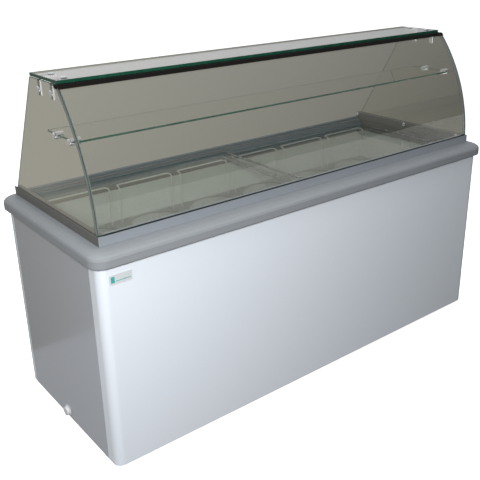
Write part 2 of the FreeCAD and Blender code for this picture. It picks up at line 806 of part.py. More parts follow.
def canopy_profile():
    """Dark extrusion that grips the front glass's top edge and carries the top glass."""
    low = val("profile_low")
    top = val("canopy_height - top_pane")
    outer = val("arc_radius + profile_wall")
    back = val("profile_back")
    corners = [(arc_point(outer, low), low), (back, low), (back, top), (arc_point(outer, top), top)]
    spots = [FreeCAD.Vector(0, y, z) for y, z in corners]
    blank = Part.Face(Part.makePolygon(spots + spots[:1]))
    reach = val("rail_half_length - 2")
    bar = blank.extrude(FreeCAD.Vector(2 * reach, 0, 0))
    bar.translate(FreeCAD.Vector(-reach, 0, 0))
    slot = swung_sheet(val("arc_radius + slot_gap / 2"), val("pane + slot_gap"), low - 20,
                       val("front_glass_top + slot_gap"), reach + 5)
    shaped("front_glass_top_profile", bar.cut(slot))


def glass_gaskets():
    """Rubber strips that wedge the panes in the rails' slots, and the bead along the front glass's foot."""
    low = f"{DECK} + slot_floor + 2"
    high = f"{DECK} + rail_tall - 1"
    bead_low = f"{DECK} + rail_tall"
    strips = []
    for side, sign in SIDES:
        inner = f"{sign} * (rail_half_length - rail_lip - pane - 0.25)"
        xs = sorted((inner, f"{inner} - {sign} * gasket"), key=val)
        strips.append(box(f"{side}_gasket", xs, ("-240", "240"), (low, high)))
    edge = "rail_front + rail_lip"
    strips.append(box("front_gasket", ("-800", "800"), (f"{edge} + 0.1", f"{edge} + 1.4"), (low, high)))
    strips.append(box("front_bead", ("-bead_half_length", "bead_half_length"),
                      ("rail_front + 0.4", f"{edge} + 1.6"), (bead_low, f"{bead_low} + bead_tall")))
    keep("glass_gaskets", group("glass_gaskets", strips))


# ---------------------------------------------------------------- canopy hardware
def canopy_brackets():
    """Angles that tie the top glass to the end panes."""
    top = "(canopy_height - top_pane)"
    half = "bracket_wide / 2"
    made = []
    for side, sign in SIDES:
        for i, y in enumerate(BRACKET_ROWS):
            name = f"{side}_bracket{i}"
            xs = sorted((f"{sign} * {GLASS_INNER}", f"{sign} * ({GLASS_INNER} - bracket_reach)"), key=val)
            ys = (f"{y} - {half}", f"{y} + {half}")
            block = box(f"{name}_block", xs, ys, (f"{top} - bracket_drop", top))
            xs = sorted((f"{sign} * ({GLASS_INNER} - bracket_thick)",
                         f"{sign} * ({GLASS_INNER} - bracket_reach - 5)"), key=val)
            relief = box(f"{name}_relief", xs, (f"{y} - bracket_wide", f"{y} + bracket_wide"),
                         (f"{top} - bracket_drop - 5", f"{top} - bracket_thick"))
            made.append(cut(name, block, [relief]))
    keep("canopy_brackets", group("canopy_brackets", made))


def cap_solid(head, head_thick, stud=0, stud_length=0):
    """A domed cap, with a stud if it has one, along +Z with the underside of the head at zero."""
    profile = [FreeCAD.Vector(0, 0, 0)]
    if stud:
        profile = [FreeCAD.Vector(0, 0, -stud_length), FreeCAD.Vector(stud, 0, -stud_length),
                   FreeCAD.Vector(stud, 0, 0)]
    profile += [FreeCAD.Vector(head, 0, 0), FreeCAD.Vector(head, 0, head_thick * 0.6),
                FreeCAD.Vector(head * 0.82, 0, head_thick), FreeCAD.Vector(0, 0, head_thick)]
    face = Part.Face(Part.makePolygon(profile + [profile[0]]))
    return face.revolve(FreeCAD.Vector(), FreeCAD.Vector(0, 0, 1), 360)


def set_at(shape, spot, direction):
    """A copy of a shape made along +Z, turned to a direction and moved to a spot."""
    turned_copy = shape.copy()
    turn = FreeCAD.Rotation(FreeCAD.Vector(0, 0, 1), direction)
    turned_copy.Placement = FreeCAD.Placement(spot, turn).multiply(shape.Placement)
    return turned_copy


def studded_cap(through):
    """One of the canopy's chrome caps, with a stud as long as the pane is thick."""
    return cap_solid(val("cap_radius"), val("cap_thick"), val("stud_radius"), val(through))


def canopy_caps():
    top_cap = studded_cap("top_pane")
    side_cap = studded_cap("pane")
    made = []
    for sign in (-1, 1):
        for y in BRACKET_ROWS:
            spot = FreeCAD.Vector(sign * val("top_cap_length"), val(y), val("canopy_height"))
            made.append(set_at(top_cap, spot, FreeCAD.Vector(0, 0, 1)))
        for y, z in SIDE_CAPS:
            spot = FreeCAD.Vector(sign * val(GLASS_OUTER), val(y), val(z))
            made.append(set_at(side_cap, spot, FreeCAD.Vector(sign, 0, 0)))
    shaped("canopy_caps", Part.makeCompound(made))


def shelf_clamps():
    """Slotted barrels that hold the shelf's corners, each with its cap outside the end pane."""
    inner = val(GLASS_INNER)
    length = val("clamp_length")
    slot_low = val("shelf_height")
    made = []
    for sign in (-1, 1):
        inward = FreeCAD.Vector(-sign, 0, 0)
        for y, z in SHELF_CLAMPS:
            depth, level = val(y), val(z)
            cap = set_at(studded_cap("pane"), FreeCAD.Vector(sign * val(GLASS_OUTER), depth, level), -inward)
            start = FreeCAD.Vector(sign * inner, depth, level)
            barrel = Part.makeCylinder(val("clamp_radius"), length, start, inward)
            low = min(sign * (inner - 2), sign * (inner - 2 - length))
            slot = Part.makeBox(length, 30, val("pane"), FreeCAD.Vector(low, depth - 15, slot_low))
            made.append(cap.fuse(barrel.cut(slot)).removeSplitter())
    shaped("shelf_clamps", Part.makeCompound(made))


def rail_screws():
    level = val(f"{DECK} + 21")
    face = val("rail_half_length - rail_wide")
    head = cap_solid(val("screw_radius"), val("cap_thick"))
    made = [set_at(head, FreeCAD.Vector(sign * face, y, level), FreeCAD.Vector(-sign, 0, 0))
            for sign in (-1, 1) for y in (-250, 27, 308)]
    shaped("rail_screws", Part.makeCompound(made))


# ---------------------------------------------------------------- lids
def lids():
    """Two glass lids that overlap in the middle, each with a metal trim along both ends."""
    ends = {
        "left": ("-lid_end", "lid_overlap / 2", "high_lid_height", "lid_bay_front + 3", "lid_bay_back - 3"),
        "right": ("-lid_overlap / 2", "lid_end", "low_lid_height", "lid_bay_front + 12", "lid_bay_back - 13"),
    }
    thick = "trim_thick"
    for side, (start, end, low, front, back) in ends.items():
        pane = box(f"{side}_lid_glass", (f"{start} + {thick}", f"{end} - {thick}"), (front, back),
                   (low, f"{low} + pane"))
        keep(f"{side}_lid_glass", pane)
        trims = []
        for i, (edge, sign) in enumerate(((start, 1), (end, -1))):
            name = f"{side}_trim{i}"
            xs = sorted((edge, f"{edge} + {sign} * trim_wide"), key=val)
            ys = (f"{front} + 4", f"{back} - 4")
            block = box(f"{name}_block", xs, ys, (low, f"{low} + pane + {thick}"))
            xs = sorted((f"{edge} + {sign} * {thick}", f"{edge} + {sign} * trim_wide * 2"), key=val)
            slot = box(f"{name}_slot", xs, (f"{front} - 9", f"{back} + 9"), (f"{low} - 5", f"{low} + pane"))
            trims.append(cut(name, block, [slot]))
        keep(f"{side}_lid_trims", group(f"{side}_lid_trims", trims))


# ---------------------------------------------------------------- tub racks
BAYS = {"left": (-2.5, -1.5, -0.5), "right": (0.5, 1.5, 2.5)}


def tub_racks():
    """Per side, a plate with six round tub places, hung from the well's ledge on wires."""
    for side, bays in BAYS.items():
        body = new_body(f"{side}_tub_plate")
        middle = sum(bays) / len(bays)
        half = "(tub_pitch * 1.5 - 2)"
        depth = "(tub_row * 2 + plate_margin)"
        pad(body, "plan", rounded(f"tub_pitch * {middle} - {half}", f"tub_pitch * {middle} + {half}",
                                  f"-{depth}", depth, "12", "12"),
            "plate_height", "plate_height + plate_thick")
        holes = [(f"tub_pitch * {bay}", f"{row} * tub_row", "tub_opening / 2")
                 for bay in bays for row in (-1, 1)]
        pocket(body, "plan", circles(holes), "plate_height - 1", "plate_height + plate_thick + 1")
        keep(f"{side}_tub_plate", body)
        wires = []
        for bay in bays:
            centre = val(f"tub_pitch * {bay}")
            for row in (-1, 1):
                wires += hanger(centre, row)
            for turn in (-1, 1):
                wires += cradle(centre + turn * val("cradle_spread"))
        shaped(f"{side}_tub_hangers", Part.makeCompound(wires))


def wire_leg(x, y, low, high):
    return Part.makeCylinder(val("hanger_wire / 2"), high - low, FreeCAD.Vector(x, y, low))


def hanger(middle, row):
    """A wire loop that hooks over the well's ledge and carries the plate: two legs and the bent top."""
    half = val("hanger_wide / 2")
    bend = val("hanger_bend")
    bar = row * val("hanger_bar")
    drop = row * val("hanger_drop")
    top = val("ledge_height + hanger_wire / 2")
    foot = val("plate_height + plate_thick")
    split = top - bend - 3
    route = [FreeCAD.Vector(middle - half, drop, split), FreeCAD.Vector(middle - half, drop, top),
             FreeCAD.Vector(middle - half, bar, top), FreeCAD.Vector(middle + half, bar, top),
             FreeCAD.Vector(middle + half, drop, top), FreeCAD.Vector(middle + half, drop, split)]
    legs = [wire_leg(middle + turn * half, drop, foot, split) for turn in (-1, 1)]
    return legs + [bent_tube(route, bend, val("hanger_wire"))]


def cradle(across):
    """A wire that hangs under the plate and holds the bottoms of the two tubs of a bay."""
    depth = val("tub_row * 2")
    low = val("cradle_height")
    split = low + val("cradle_bend") + 3
    route = [FreeCAD.Vector(across, -depth, split), FreeCAD.Vector(across, -depth, low),
             FreeCAD.Vector(across, depth, low), FreeCAD.Vector(across, depth, split)]
    legs = [wire_leg(across, turn * depth, split, val("plate_height")) for turn in (-1, 1)]
    return legs + [bent_tube(route, val("cradle_bend"), val("hanger_wire"))]


# ---------------------------------------------------------------- cooling unit
def compressor():
    """The welded shell on its plate, with four rubber feet and the terminal box."""
    profile = [("0", "0"), ("70", "0"), ("80", "18"), ("82", "70"), ("84", "70"), ("84", "76"), ("82", "76"),
               ("80", "130"), ("62", "158"), ("0", "166")]
    shell = turned("compressor_shell", profile)
    base_low = f"({BODY_LOW} + pan_sheet + mount_tall)"
    place(shell, "compressor_length", "compressor_depth", f"{base_low} + plate_thick")
    keep("compressor", shell)
    feet = [(f"compressor_length + {across} * mount_across", f"compressor_depth + {along} * mount_along")
            for across in (-1, 1) for along in (-1, 1)]
    plate = new_body("compressor_base")
    pad(plate, "plan", rounded("compressor_length - 100", "compressor_length + 100", "compressor_depth - 90",
                               "compressor_depth + 90", "14", "14"), base_low, f"{base_low} + plate_thick")
    pocket(plate, "plan", circles([(x, y, "mount_neck + 0.2") for x, y in feet]), f"{base_low} - 1",
           f"{base_low} + plate_thick + 1")
    keep("compressor_base", plate)
    made = []
    for x, y in feet:
        foot = Part.makeCylinder(12, val("mount_tall"), point(x, y, f"{BODY_LOW} + pan_sheet"))
        neck = Part.makeCylinder(val("mount_neck"), 8, point(x, y, base_low))
        made.append(foot.fuse(neck))
    shaped("compressor_mounts", Part.makeCompound(made))
    side = "(compressor_depth - 84.5)"
    keep("compressor_terminal_box", box("compressor_terminal_box",
                                        ("compressor_length - 34", "compressor_length + 34"),
                                        (f"{side} - 47.5", side), ("70", "140")))


def condenser():
    """The finned block between its two end plates."""
    body = new_body("condenser")
    low, high = f"{BODY_LOW} + 13", f"{BODY_LOW} + 253"
    start, end = "condenser_start", "condenser_end"
    pad(body, "side", rectangle("268", "312", low, high), start, f"{start} + 4")
    pad(body, "side", rectangle("268", "312", low, high), f"{end} - 4", end)
    pad(body, "front", rectangle(f"{start} + 4", f"{end} - 4", f"{low} + 4", f"{high} - 4"), "274", "306")
    slots = [rectangle(f"{start} + 12", f"{end} - 12", f"{low} + {rise}", f"{low} + {rise + 6}")
             for rise in range(12, 222, 13)]
    pocket(body, "front", several(*slots), "260", "320")
    keep("condenser", body)


def rotor():
    """Hub and five pitched blades about the axis Y, with the shaft's bore."""
    along = FreeCAD.Vector(0, 1, 0)
    hub = Part.makeCylinder(24, 20, FreeCAD.Vector(), along)
    bore = Part.makeCylinder(val("shaft_radius + 0.05"), 12, FreeCAD.Vector(), along)
    rim = Part.makeCylinder(val("fan_wide / 2"), 60, FreeCAD.Vector(0, -20, 0), along)
    blades = []
    for i in range(FAN_BLADES):
        blade = Part.makeBox(60, 1.5, 78, FreeCAD.Vector(-30, -0.75, 20))
        blade.rotate(FreeCAD.Vector(), FreeCAD.Vector(0, 0, 1), 22)
        blade.translate(FreeCAD.Vector(0, 10, 0))
        blade = blade.common(rim)
        blade.rotate(FreeCAD.Vector(), along, 360 / FAN_BLADES * i)
        blades.append(blade)
    return hub.multiFuse(blades).cut(bore)


def fan():
    """Shroud, rotor, motor and the bracket that holds the motor."""
    x, z = "fan_centre_length", "fan_centre_height"
    shroud = new_body("fan_shroud")
    plate = rectangle(f"{x} - 112", f"{x} + 108", f"{BODY_LOW} + 17", f"{BODY_LOW} + 249")
    pad(shroud, "front", plate, "262", "264")
    pad(shroud, "front", circles([(x, z, "fan_wide / 2 + 8")]), "226", "262")
    pocket(shroud, "front", circles([(x, z, "fan_wide / 2 + 5")]), "220", "270")
    keep("fan_shroud", shroud)
    blades = rotor()
    blades.translate(point(x, "230", z))
    shaped("fan_blade", blades)
    case = rod("fan_motor_case", "y", (x, "170", z), "50", "motor_radius")
    shaft = rod("fan_motor_shaft", "y", (x, "220", z), "19", "shaft_radius")
    keep("fan_motor", fuse("fan_motor", [case, shaft]))
    body = new_body("fan_bracket")
    width = (f"{x} - 42", f"{x} + 42")
    floor = f"{BODY_LOW} + pan_sheet"
    pad(body, "side", rectangle("178", "181", floor, "100"), *width)
    pad(body, "front", rectangle(*width, "100", f"{z} + 44"), "178", "181")
    pad(body, "side", rectangle("150", "212", floor, f"{floor} + 3"), *width)
    pocket(body, "front", circles([(x, z, "motor_radius + 0.2")]), "170", "190")
    keep("fan_bracket", body)


def pipework():
    """The filter drier on the right, and the suction and discharge lines."""
    spot = (846, -60, 60)
    drier = Part.makeCylinder(12, 110, FreeCAD.Vector(*spot))
    for rise, flip in ((0, -1), (110, 1)):
        end = FreeCAD.Vector(spot[0], spot[1], spot[2] + rise)
        drier = drier.fuse(Part.makeCone(12, 4, 14, end, FreeCAD.Vector(0, 0, flip)))
    shaped("filter_drier", drier.removeSplitter())
    suction = [(617.9, -80, 125), (603, -80, 125), (603, -80, 300), (603, 120, 300)]
    discharge = [(782.1, -80, 125), (806, -80, 125), (806, 40, 125), (838, 120, 240), (838, 290, 240),
                 (824.2, 290, 240)]
    lines = [bent_tube([FreeCAD.Vector(*spot) for spot in route], val("line_bend"), val("line_wide"))
             for route in (suction, discharge)]
    shaped("refrigerant_lines", Part.makeCompound(lines))


# ---------------------------------------------------------------- server's side controls
def tilted(along, across):
    """A point of the rocker's section: along its face's normal and across it, from the pivot."""
    turn = math.radians(10)
    depth = along * math.cos(turn) + across * math.sin(turn)
    rise = across * math.cos(turn) - along * math.sin(turn)
    return (f"rocker_pivot_depth + {depth:.4f}", f"control_height + {rise:.4f}")


def switch_outline(across, up):
    """A rectangle about the switch's middle."""
    return rectangle(f"switch_length - {across}", f"switch_length + {across}",
                     f"control_height - {up}", f"control_height + {up}")


def power_switch():
    """A bezelled housing and the rocker that tips in it about a round barrel."""
    frame = new_body("switch_housing")
    pad(frame, "front", switch_outline("11", "14.5"), f"{FACE} - 20", f"{FACE} + 2")
    pad(frame, "front", switch_outline("13", "16.5"), f"{FACE} + 2", f"{FACE} + 3.5")
    pocket(frame, "front", switch_outline("8.8", "12.2"), f"{FACE} - 17", f"{FACE} + 9")
    keep("switch_housing", frame)
    rocker = new_body("power_rocker")
    width = ("switch_length - 8.4", "switch_length + 8.4")
    pad(rocker, "side", circles([("rocker_pivot_depth", "control_height", "rocker_radius")]), *width)
    front = polygon([tilted(6.5, -16), tilted(6.5, 16), tilted(20, 16), tilted(20, -16)])
    back = polygon([tilted(-5, 0), tilted(1, 17.4), tilted(-20, 17.4), tilted(-20, -17.4), tilted(1, -17.4)])
    for waste in (front, back):
        pocket(rocker, "side", waste, f"{width[0]} - 1", f"{width[1]} + 1")
    keep("power_rocker", rocker)


def controls():
    """The plate beside the grille: thermostat and knob, switch, lamp and thermometer, and the inlet."""
    knob_at = ("knob_length", "control_height")
    lamp_at = ("lamp_length", "lamp_height")
    plate = new_body("control_plate")
    pad(plate, "front", rounded("550", "850", "410", "570", "8", "8"), FACE, f"{FACE} + 2")
    holes = several(circles([(*knob_at, "5"), (*lamp_at, "5.2")]), switch_outline("11", "14.5"))
    pocket(plate, "front", holes, f"{FACE} - 5", f"{FACE} + 9")
    keep("control_plate", plate)
    case = new_body("thermostat")
    pad(case, "front", rectangle("knob_length - 28", "knob_length + 28", "control_height - 24",
                                 "control_height + 24"), f"{FACE} - 32", FACE)
    pad(case, "front", circles([(*knob_at, "4.95")]), FACE, f"{FACE} + 3")
    keep("thermostat", case)
    knob = new_body("thermostat_knob")
    pad(knob, "front", circles([(*knob_at, "knob_radius")]), f"{FACE} + 3.4", f"{FACE} + 12")
    pad(knob, "front", rectangle("knob_length - 4", "knob_length + 4", "control_height - 15",
                                 "control_height + 15"), f"{FACE} + 12", f"{FACE} + 17")
    keep("thermostat_knob", knob)
    power_switch()
    lamp = cap_solid(7, 4, 4.9, 14)
    shaped("pilot_lamp", set_at(lamp, point(lamp_at[0], f"{FACE} + 2", lamp_at[1]), FreeCAD.Vector(0, 1, 0)))
    dial = new_body("thermometer")
    dial_at = ("dial_length", "dial_height")
    pad(dial, "front", circles([(*dial_at, "dial_radius")]), f"{FACE} + 2", f"{FACE} + 8")
    pocket(dial, "front", circles([(*dial_at, "dial_radius - 3")]), f"{FACE} + 6.5", f"{FACE} + 9")
    keep("thermometer", dial)
    power_inlet()


def power_inlet():
    """A flanged socket with two pins; the lead is not part of the cabinet."""
    x, z = "inlet_length", "inlet_height"

    def about(across, up):
        return (f"{x} - {across}", f"{x} + {across}", f"{z} - {up}", f"{z} + {up}")

    inlet = new_body("power_inlet")
    pad(inlet, "front", rectangle(*about("13.5", "11.5")), f"{FACE} - 24", FACE)
    pad(inlet, "front", rounded(*about("20", "20"), "4", "4"), FACE, f"{FACE} + 3")
    pocket(inlet, "front", rectangle(*about("10", "8")), f"{FACE} - 16", f"{FACE} + 5")
    for across in ("-5", "5"):
        blade = rectangle(f"{x} + {across} - 1", f"{x} + {across} + 1", f"{z} - 3", f"{z} + 3")
        pad(inlet, "front", blade, f"{FACE} - 16.5", f"{FACE} - 4")
    keep("power_inlet", inlet)


def rear_grille():
    """The slotted cover in front of the condenser, and the screws of the cover and the control plate."""
    body = new_body("rear_grille")
    pad(body, "front", rounded("578", "852", "28", "282", "8", "8"), FACE, f"{FACE} + 2")
    slots = [rectangle("600", "830", str(z), str(z + 8)) for z in range(48, 258, 16)]
    pocket(body, "front", several(*slots), f"{FACE} - 5", f"{FACE} + 9")
    keep("rear_grille", body)
    spots = [(x, z) for x in (586, 844) for z in (36, 155, 274)]
    spots += [(x, z) for x in (558, 842) for z in (418, 562)]
    screw = cap_solid(4, 2)
    made = [set_at(screw, point(x, f"{FACE} + 2", z), FreeCAD.Vector(0, 1, 0)) for x, z in spots]
    shaped("panel_screws", Part.makeCompound(made))


# ---------------------------------------------------------------- drain, feet, plate
def drain():
    """The bent tube from the tank's floor to the left side, and the cap that pulls off its end."""
    end = f"(-{HALF_X} - drain_stub)"
    y, z = "drain_depth", "drain_height"
    route = [point("drain_length", y, "well_floor - skin"), point("drain_length", y, z), point(end, y, z)]
    inner = [route[0] + FreeCAD.Vector(0, 0, 1), route[1], route[2] - FreeCAD.Vector(1, 0, 0)]
    tube = bent_tube(route, 20, val("drain_wide"))
    bore = bent_tube(inner, 20, val("drain_wide - 4"))
    flange = Part.makeCylinder(20, 2, point(f"-{HALF_X} - 2", y, z), FreeCAD.Vector(1, 0, 0))
    shaped("drain_tube", tube.fuse(flange).cut(bore).removeSplitter())
    shell = rod("drain_cap_disc", "x", (f"{end} - 3.8", y, z), "9.2", "drain_cap_radius")
    hollow = rod("drain_cap_hollow", "x", (f"{end} - 0.4", y, z), "9", "drain_wide / 2 + 0.08")
    keep("drain_cap", cut("drain_cap", shell, [hollow]))


def feet():
    """Four round pads under the pan's corners."""
    made = []
    for i, (across, along) in enumerate(((-1, -1), (1, -1), (-1, 1), (1, 1))):
        spot = (f"{across} * ({HALF_X} - 90)", f"{along} * ({HALF_Y} - 80)", "0")
        made.append(rod(f"foot{i}", "z", spot, "foot_height", "28"))
    keep("feet", group("feet", made))


def badge_plate():
    body = new_body("badge_plate")
    pad(body, "front", rounded("-848", "-775", "638", "669", "3", "3"), f"-{HALF_Y} - 1.5", f"-{HALF_Y}")
    keep("badge_plate", body)


MAKERS = (base_pan, front_panel, rear_panel, side_panels, inner_liner, foam_insulation,
          evaporator_coil, top_collar, breaker_strip, lid_tracks, front_glass_rail, end_glass_rails,
          rear_rail, front_glass, side_glasses, top_glass, glass_shelf, canopy_profile, glass_gaskets,
          canopy_brackets, canopy_caps, shelf_clamps, rail_screws, lids, tub_racks, compressor,
          condenser, fan, pipework, controls, rear_grille, drain, feet, badge_plate)


def check_and_export():
    doc.recompute()
    for thing in doc.Objects:
        if {"Invalid", "Error"} & set(thing.State):
            raise ValueError(f"{thing.Label}: {thing.State}")
    for node, thing in NODES.items():
        if thing.Shape.isNull() or not thing.Shape.isValid() or not thing.Shape.Solids:
            raise ValueError(f"{node}: bad shape")
    os.makedirs("parts", exist_ok=True)
    for node, thing in NODES.items():
        thing.Shape.exportStep(f"parts/{node}.step")
        extent = thing.Shape.BoundBox
        print(f"{node:26s} {len(thing.Shape.Solids):3d} solids {thing.Shape.Volume / 1000:10.1f} cm3 "
              f"x {extent.XMin:7.1f} {extent.XMax:7.1f} y {extent.YMin:7.1f} {extent.YMax:7.1f} "
              f"z {extent.ZMin:7.1f} {extent.ZMax:7.1f}")
    print(len(NODES), "nodes")


for make in MAKERS:
    make()
check_and_export()
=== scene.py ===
"""Looks of the ice cream dipping cabinet: finishes, polished glass, small fittings, stage and camera."""
import json
import math

import bmesh
import bpy
from bpy.props import FloatProperty, FloatVectorProperty, PointerProperty
from mathutils import Matrix, Vector

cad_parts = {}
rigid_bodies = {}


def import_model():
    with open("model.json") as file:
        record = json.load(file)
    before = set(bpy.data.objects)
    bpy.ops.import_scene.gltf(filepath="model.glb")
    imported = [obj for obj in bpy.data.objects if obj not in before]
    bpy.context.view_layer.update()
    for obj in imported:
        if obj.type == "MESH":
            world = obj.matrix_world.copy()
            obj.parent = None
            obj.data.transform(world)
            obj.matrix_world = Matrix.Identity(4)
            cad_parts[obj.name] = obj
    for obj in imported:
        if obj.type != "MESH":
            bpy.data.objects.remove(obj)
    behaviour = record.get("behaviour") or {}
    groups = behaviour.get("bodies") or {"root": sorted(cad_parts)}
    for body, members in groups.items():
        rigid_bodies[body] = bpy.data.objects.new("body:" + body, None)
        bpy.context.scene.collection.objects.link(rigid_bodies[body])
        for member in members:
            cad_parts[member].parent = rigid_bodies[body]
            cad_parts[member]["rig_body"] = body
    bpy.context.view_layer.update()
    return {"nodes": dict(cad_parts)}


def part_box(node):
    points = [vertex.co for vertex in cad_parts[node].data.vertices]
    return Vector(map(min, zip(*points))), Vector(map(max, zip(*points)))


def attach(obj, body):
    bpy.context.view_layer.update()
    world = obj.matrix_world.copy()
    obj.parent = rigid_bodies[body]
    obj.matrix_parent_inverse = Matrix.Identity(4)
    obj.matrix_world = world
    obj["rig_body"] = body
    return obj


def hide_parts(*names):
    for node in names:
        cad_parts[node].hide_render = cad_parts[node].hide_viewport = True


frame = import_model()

bl_info = {
    "name": "Dipping Cabinet Looks",
    "version": (1, 0, 0),
    "blender": (4, 5, 0),
    "location": "View3D > Sidebar > Cabinet",
    "description": "Dresses a dipping cabinet in its finishes and adds its small pieces",
    "category": "Object",
}

NODES = frame["nodes"]
ROOT = "cabinet"
ARC_CENTRE = (0.3832, 0.7374)  # of the front glass's outer face, y and z in metres
ARC_RADIUS = 0.6686
WELD_GAP = 0.00002
TURN_LIMIT = math.radians(35)


def colour(name, description, default):
    """A colour property with no alpha."""
    return FloatVectorProperty(name=name, description=description, subtype="COLOR", size=3, min=0.0, max=1.0,
                               default=default)


def length(name, description, default):
    """A length property in metres."""
    return FloatProperty(name=name, description=description, default=default, min=0.0, unit="LENGTH")


# ---------------------------------------------------------------- user's choices
class CabinetColours(bpy.types.PropertyGroup):
    enamel: colour("Front enamel", "Colour of the front panel's enamel", (0.66, 0.70, 0.75))
    # Side panels: the same white enamel as the front, set darker here as painted shade
    side_enamel: colour("Side enamel", "Colour of the side panels", (0.34, 0.355, 0.38))
    collar: colour("Collar", "Colour of the moulded collar", (0.225, 0.24, 0.255))
    breaker: colour("Breaker strip", "Colour of the strip round the well", (0.085, 0.085, 0.077))
    liner: colour("Liner", "Colour of the tank's lining", (0.41, 0.435, 0.42))
    rail: colour("Glass rail", "Colour of the aluminium rails", (0.28, 0.305, 0.335))
    # End rails: the same aluminium as the front rail, set much darker here as painted shade
    end_rail: colour("End rail", "Colour of the rails at the two ends", (0.125, 0.124, 0.116))
    glass: colour("End glass", "Light that an end pane lets through", (0.93, 0.92, 0.88))
    front: colour("Front glass", "Light that the curved pane lets through", (0.90, 0.90, 0.87))
    clear: colour("Shelf glass", "Light that the shelf lets through", (0.95, 0.97, 0.95))
    roof: colour("Top glass", "Light that the top glass lets through", (0.93, 0.92, 0.89))
    glass_edge: colour("Glass edge", "Colour of the polished edges", (0.008, 0.05, 0.03))
    end_edge: colour("Front glass end", "Colour of the front glass's ground ends", (0.15, 0.17, 0.165))
    profile: colour("Top profile", "Colour of the strip that holds the front glass", (0.006, 0.005, 0.0045))
    wire: colour("Rack wire", "Colour of the tub racks", (0.45, 0.46, 0.44))
    badge_band: colour("Badge band", "Colour of the band on the blank badge", (0.05, 0.33, 0.30))


class CabinetSizes(bpy.types.PropertyGroup):
    sheet_edge: length("Sheet edge", "Rounding of the sheet metal's edges", 0.0008)
    rail_edge: length("Rail edge", "Rounding of the aluminium rails' edges", 0.0010)
    glass_arris: length("Glass arris", "Width of the ground corner along each pane's edge", 0.0008)
    enamel_ripple: length("Enamel ripple", "Depth of the orange peel in the enamel", 0.0004)
    stage_size: length("Stage size", "Half length of the floor", 60.0)


# ---------------------------------------------------------------- finishes
def new_material(name):
    """A material with its node tree and its shader node."""
    made = bpy.data.materials.new(name)
    made.use_nodes = True
    tree = made.node_tree
    return made, tree, tree.nodes["Principled BSDF"]


def noise(tree, scale, detail=4.0, stretch=(1.0, 1.0, 1.0)):
    """A noise texture in the part's own space, in repeats per metre, with a stretch along each axis."""
    place = tree.nodes.new("ShaderNodeTexCoord")
    mapping = tree.nodes.new("ShaderNodeMapping")
    mapping.inputs["Scale"].default_value = stretch
    made = tree.nodes.new("ShaderNodeTexNoise")
    made.inputs["Scale"].default_value = scale
    made.inputs["Detail"].default_value = detail
    tree.links.new(place.outputs["Object"], mapping.inputs["Vector"])
    tree.links.new(mapping.outputs["Vector"], made.inputs["Vector"])
    return made


def spread(tree, source, low, high):
    """Maps a texture's middle range onto low to high."""
    made = tree.nodes.new("ShaderNodeMapRange")
    made.inputs["From Min"].default_value = 0.3
    made.inputs["From Max"].default_value = 0.7
    made.inputs["To Min"].default_value = low
    made.inputs["To Max"].default_value = high
    tree.links.new(source, made.inputs["Value"])
    return made.outputs["Result"]


def bump(tree, shader, source, depth, strength=1.0):
    """Raises a shader's surface by a texture, to a depth in metres."""
    made = tree.nodes.new("ShaderNodeBump")
    made.inputs["Strength"].default_value = strength
    made.inputs["Distance"].default_value = depth
    tree.links.new(source, made.inputs["Height"])
    tree.links.new(made.outputs["Normal"], shader.inputs["Normal"])


def tinted(tree, shader, source, base, share):
    """Base colour that drifts a little darker and lighter with a texture."""
    mix = tree.nodes.new("ShaderNodeMix")
    mix.data_type = "RGBA"
    mix.inputs["A"].default_value = (*[c * (1 - share) for c in base], 1)
    mix.inputs["B"].default_value = (*[min(1.0, c * (1 + share)) for c in base], 1)
    tree.links.new(source, mix.inputs["Factor"])
    tree.links.new(mix.outputs["Result"], shader.inputs["Base Color"])


def surface(name, base, metallic=0.0, rough=(0.4, 0.5), drift=0.04, wear_scale=6.0, grain_scale=900.0,
            grain_depth=0.0002, grain_strength=0.15, stretch=(1.0, 1.0, 1.0), coat=0.0):
    """A solid finish: slow colour drift and uneven gloss from one noise, fine grain from another."""
    made, tree, shader = new_material(name)
    shader.inputs["Metallic"].default_value = metallic
    shader.inputs["Coat Weight"].default_value = coat
    shader.inputs["Coat Roughness"].default_value = 0.08
    slow = noise(tree, wear_scale)
    fine = noise(tree, grain_scale, 2.0, stretch)
    tinted(tree, shader, slow.outputs["Fac"], base, drift)
    tree.links.new(spread(tree, slow.outputs["Fac"], *rough), shader.inputs["Roughness"])
    bump(tree, shader, fine.outputs["Fac"], grain_depth, grain_strength)
    return made


def clear_glass(name, tint, rough=0.01):
    """Glass that refracts what is seen and lets lamps through almost untinted."""
    made, tree, shader = new_material(name)
    shader.inputs["Base Color"].default_value = (*tint, 1)
    shader.inputs["Roughness"].default_value = rough
    shader.inputs["IOR"].default_value = 1.5
    shader.inputs["Transmission Weight"].default_value = 1.0
    smears = noise(tree, 9.0, 6.0)
    bump(tree, shader, smears.outputs["Fac"], 0.0003, 0.006)
    pass_light = tree.nodes.new("ShaderNodeBsdfTransparent")
    pass_light.inputs["Color"].default_value = (0.95, 0.96, 0.94, 1)
    path = tree.nodes.new("ShaderNodeLightPath")
    mix = tree.nodes.new("ShaderNodeMixShader")
    tree.links.new(path.outputs["Is Shadow Ray"], mix.inputs["Fac"])
    tree.links.new(shader.outputs["BSDF"], mix.inputs[1])
    tree.links.new(pass_light.outputs["BSDF"], mix.inputs[2])
    tree.links.new(mix.outputs["Shader"], tree.nodes["Material Output"].inputs["Surface"])
    return made


FINISH = {}


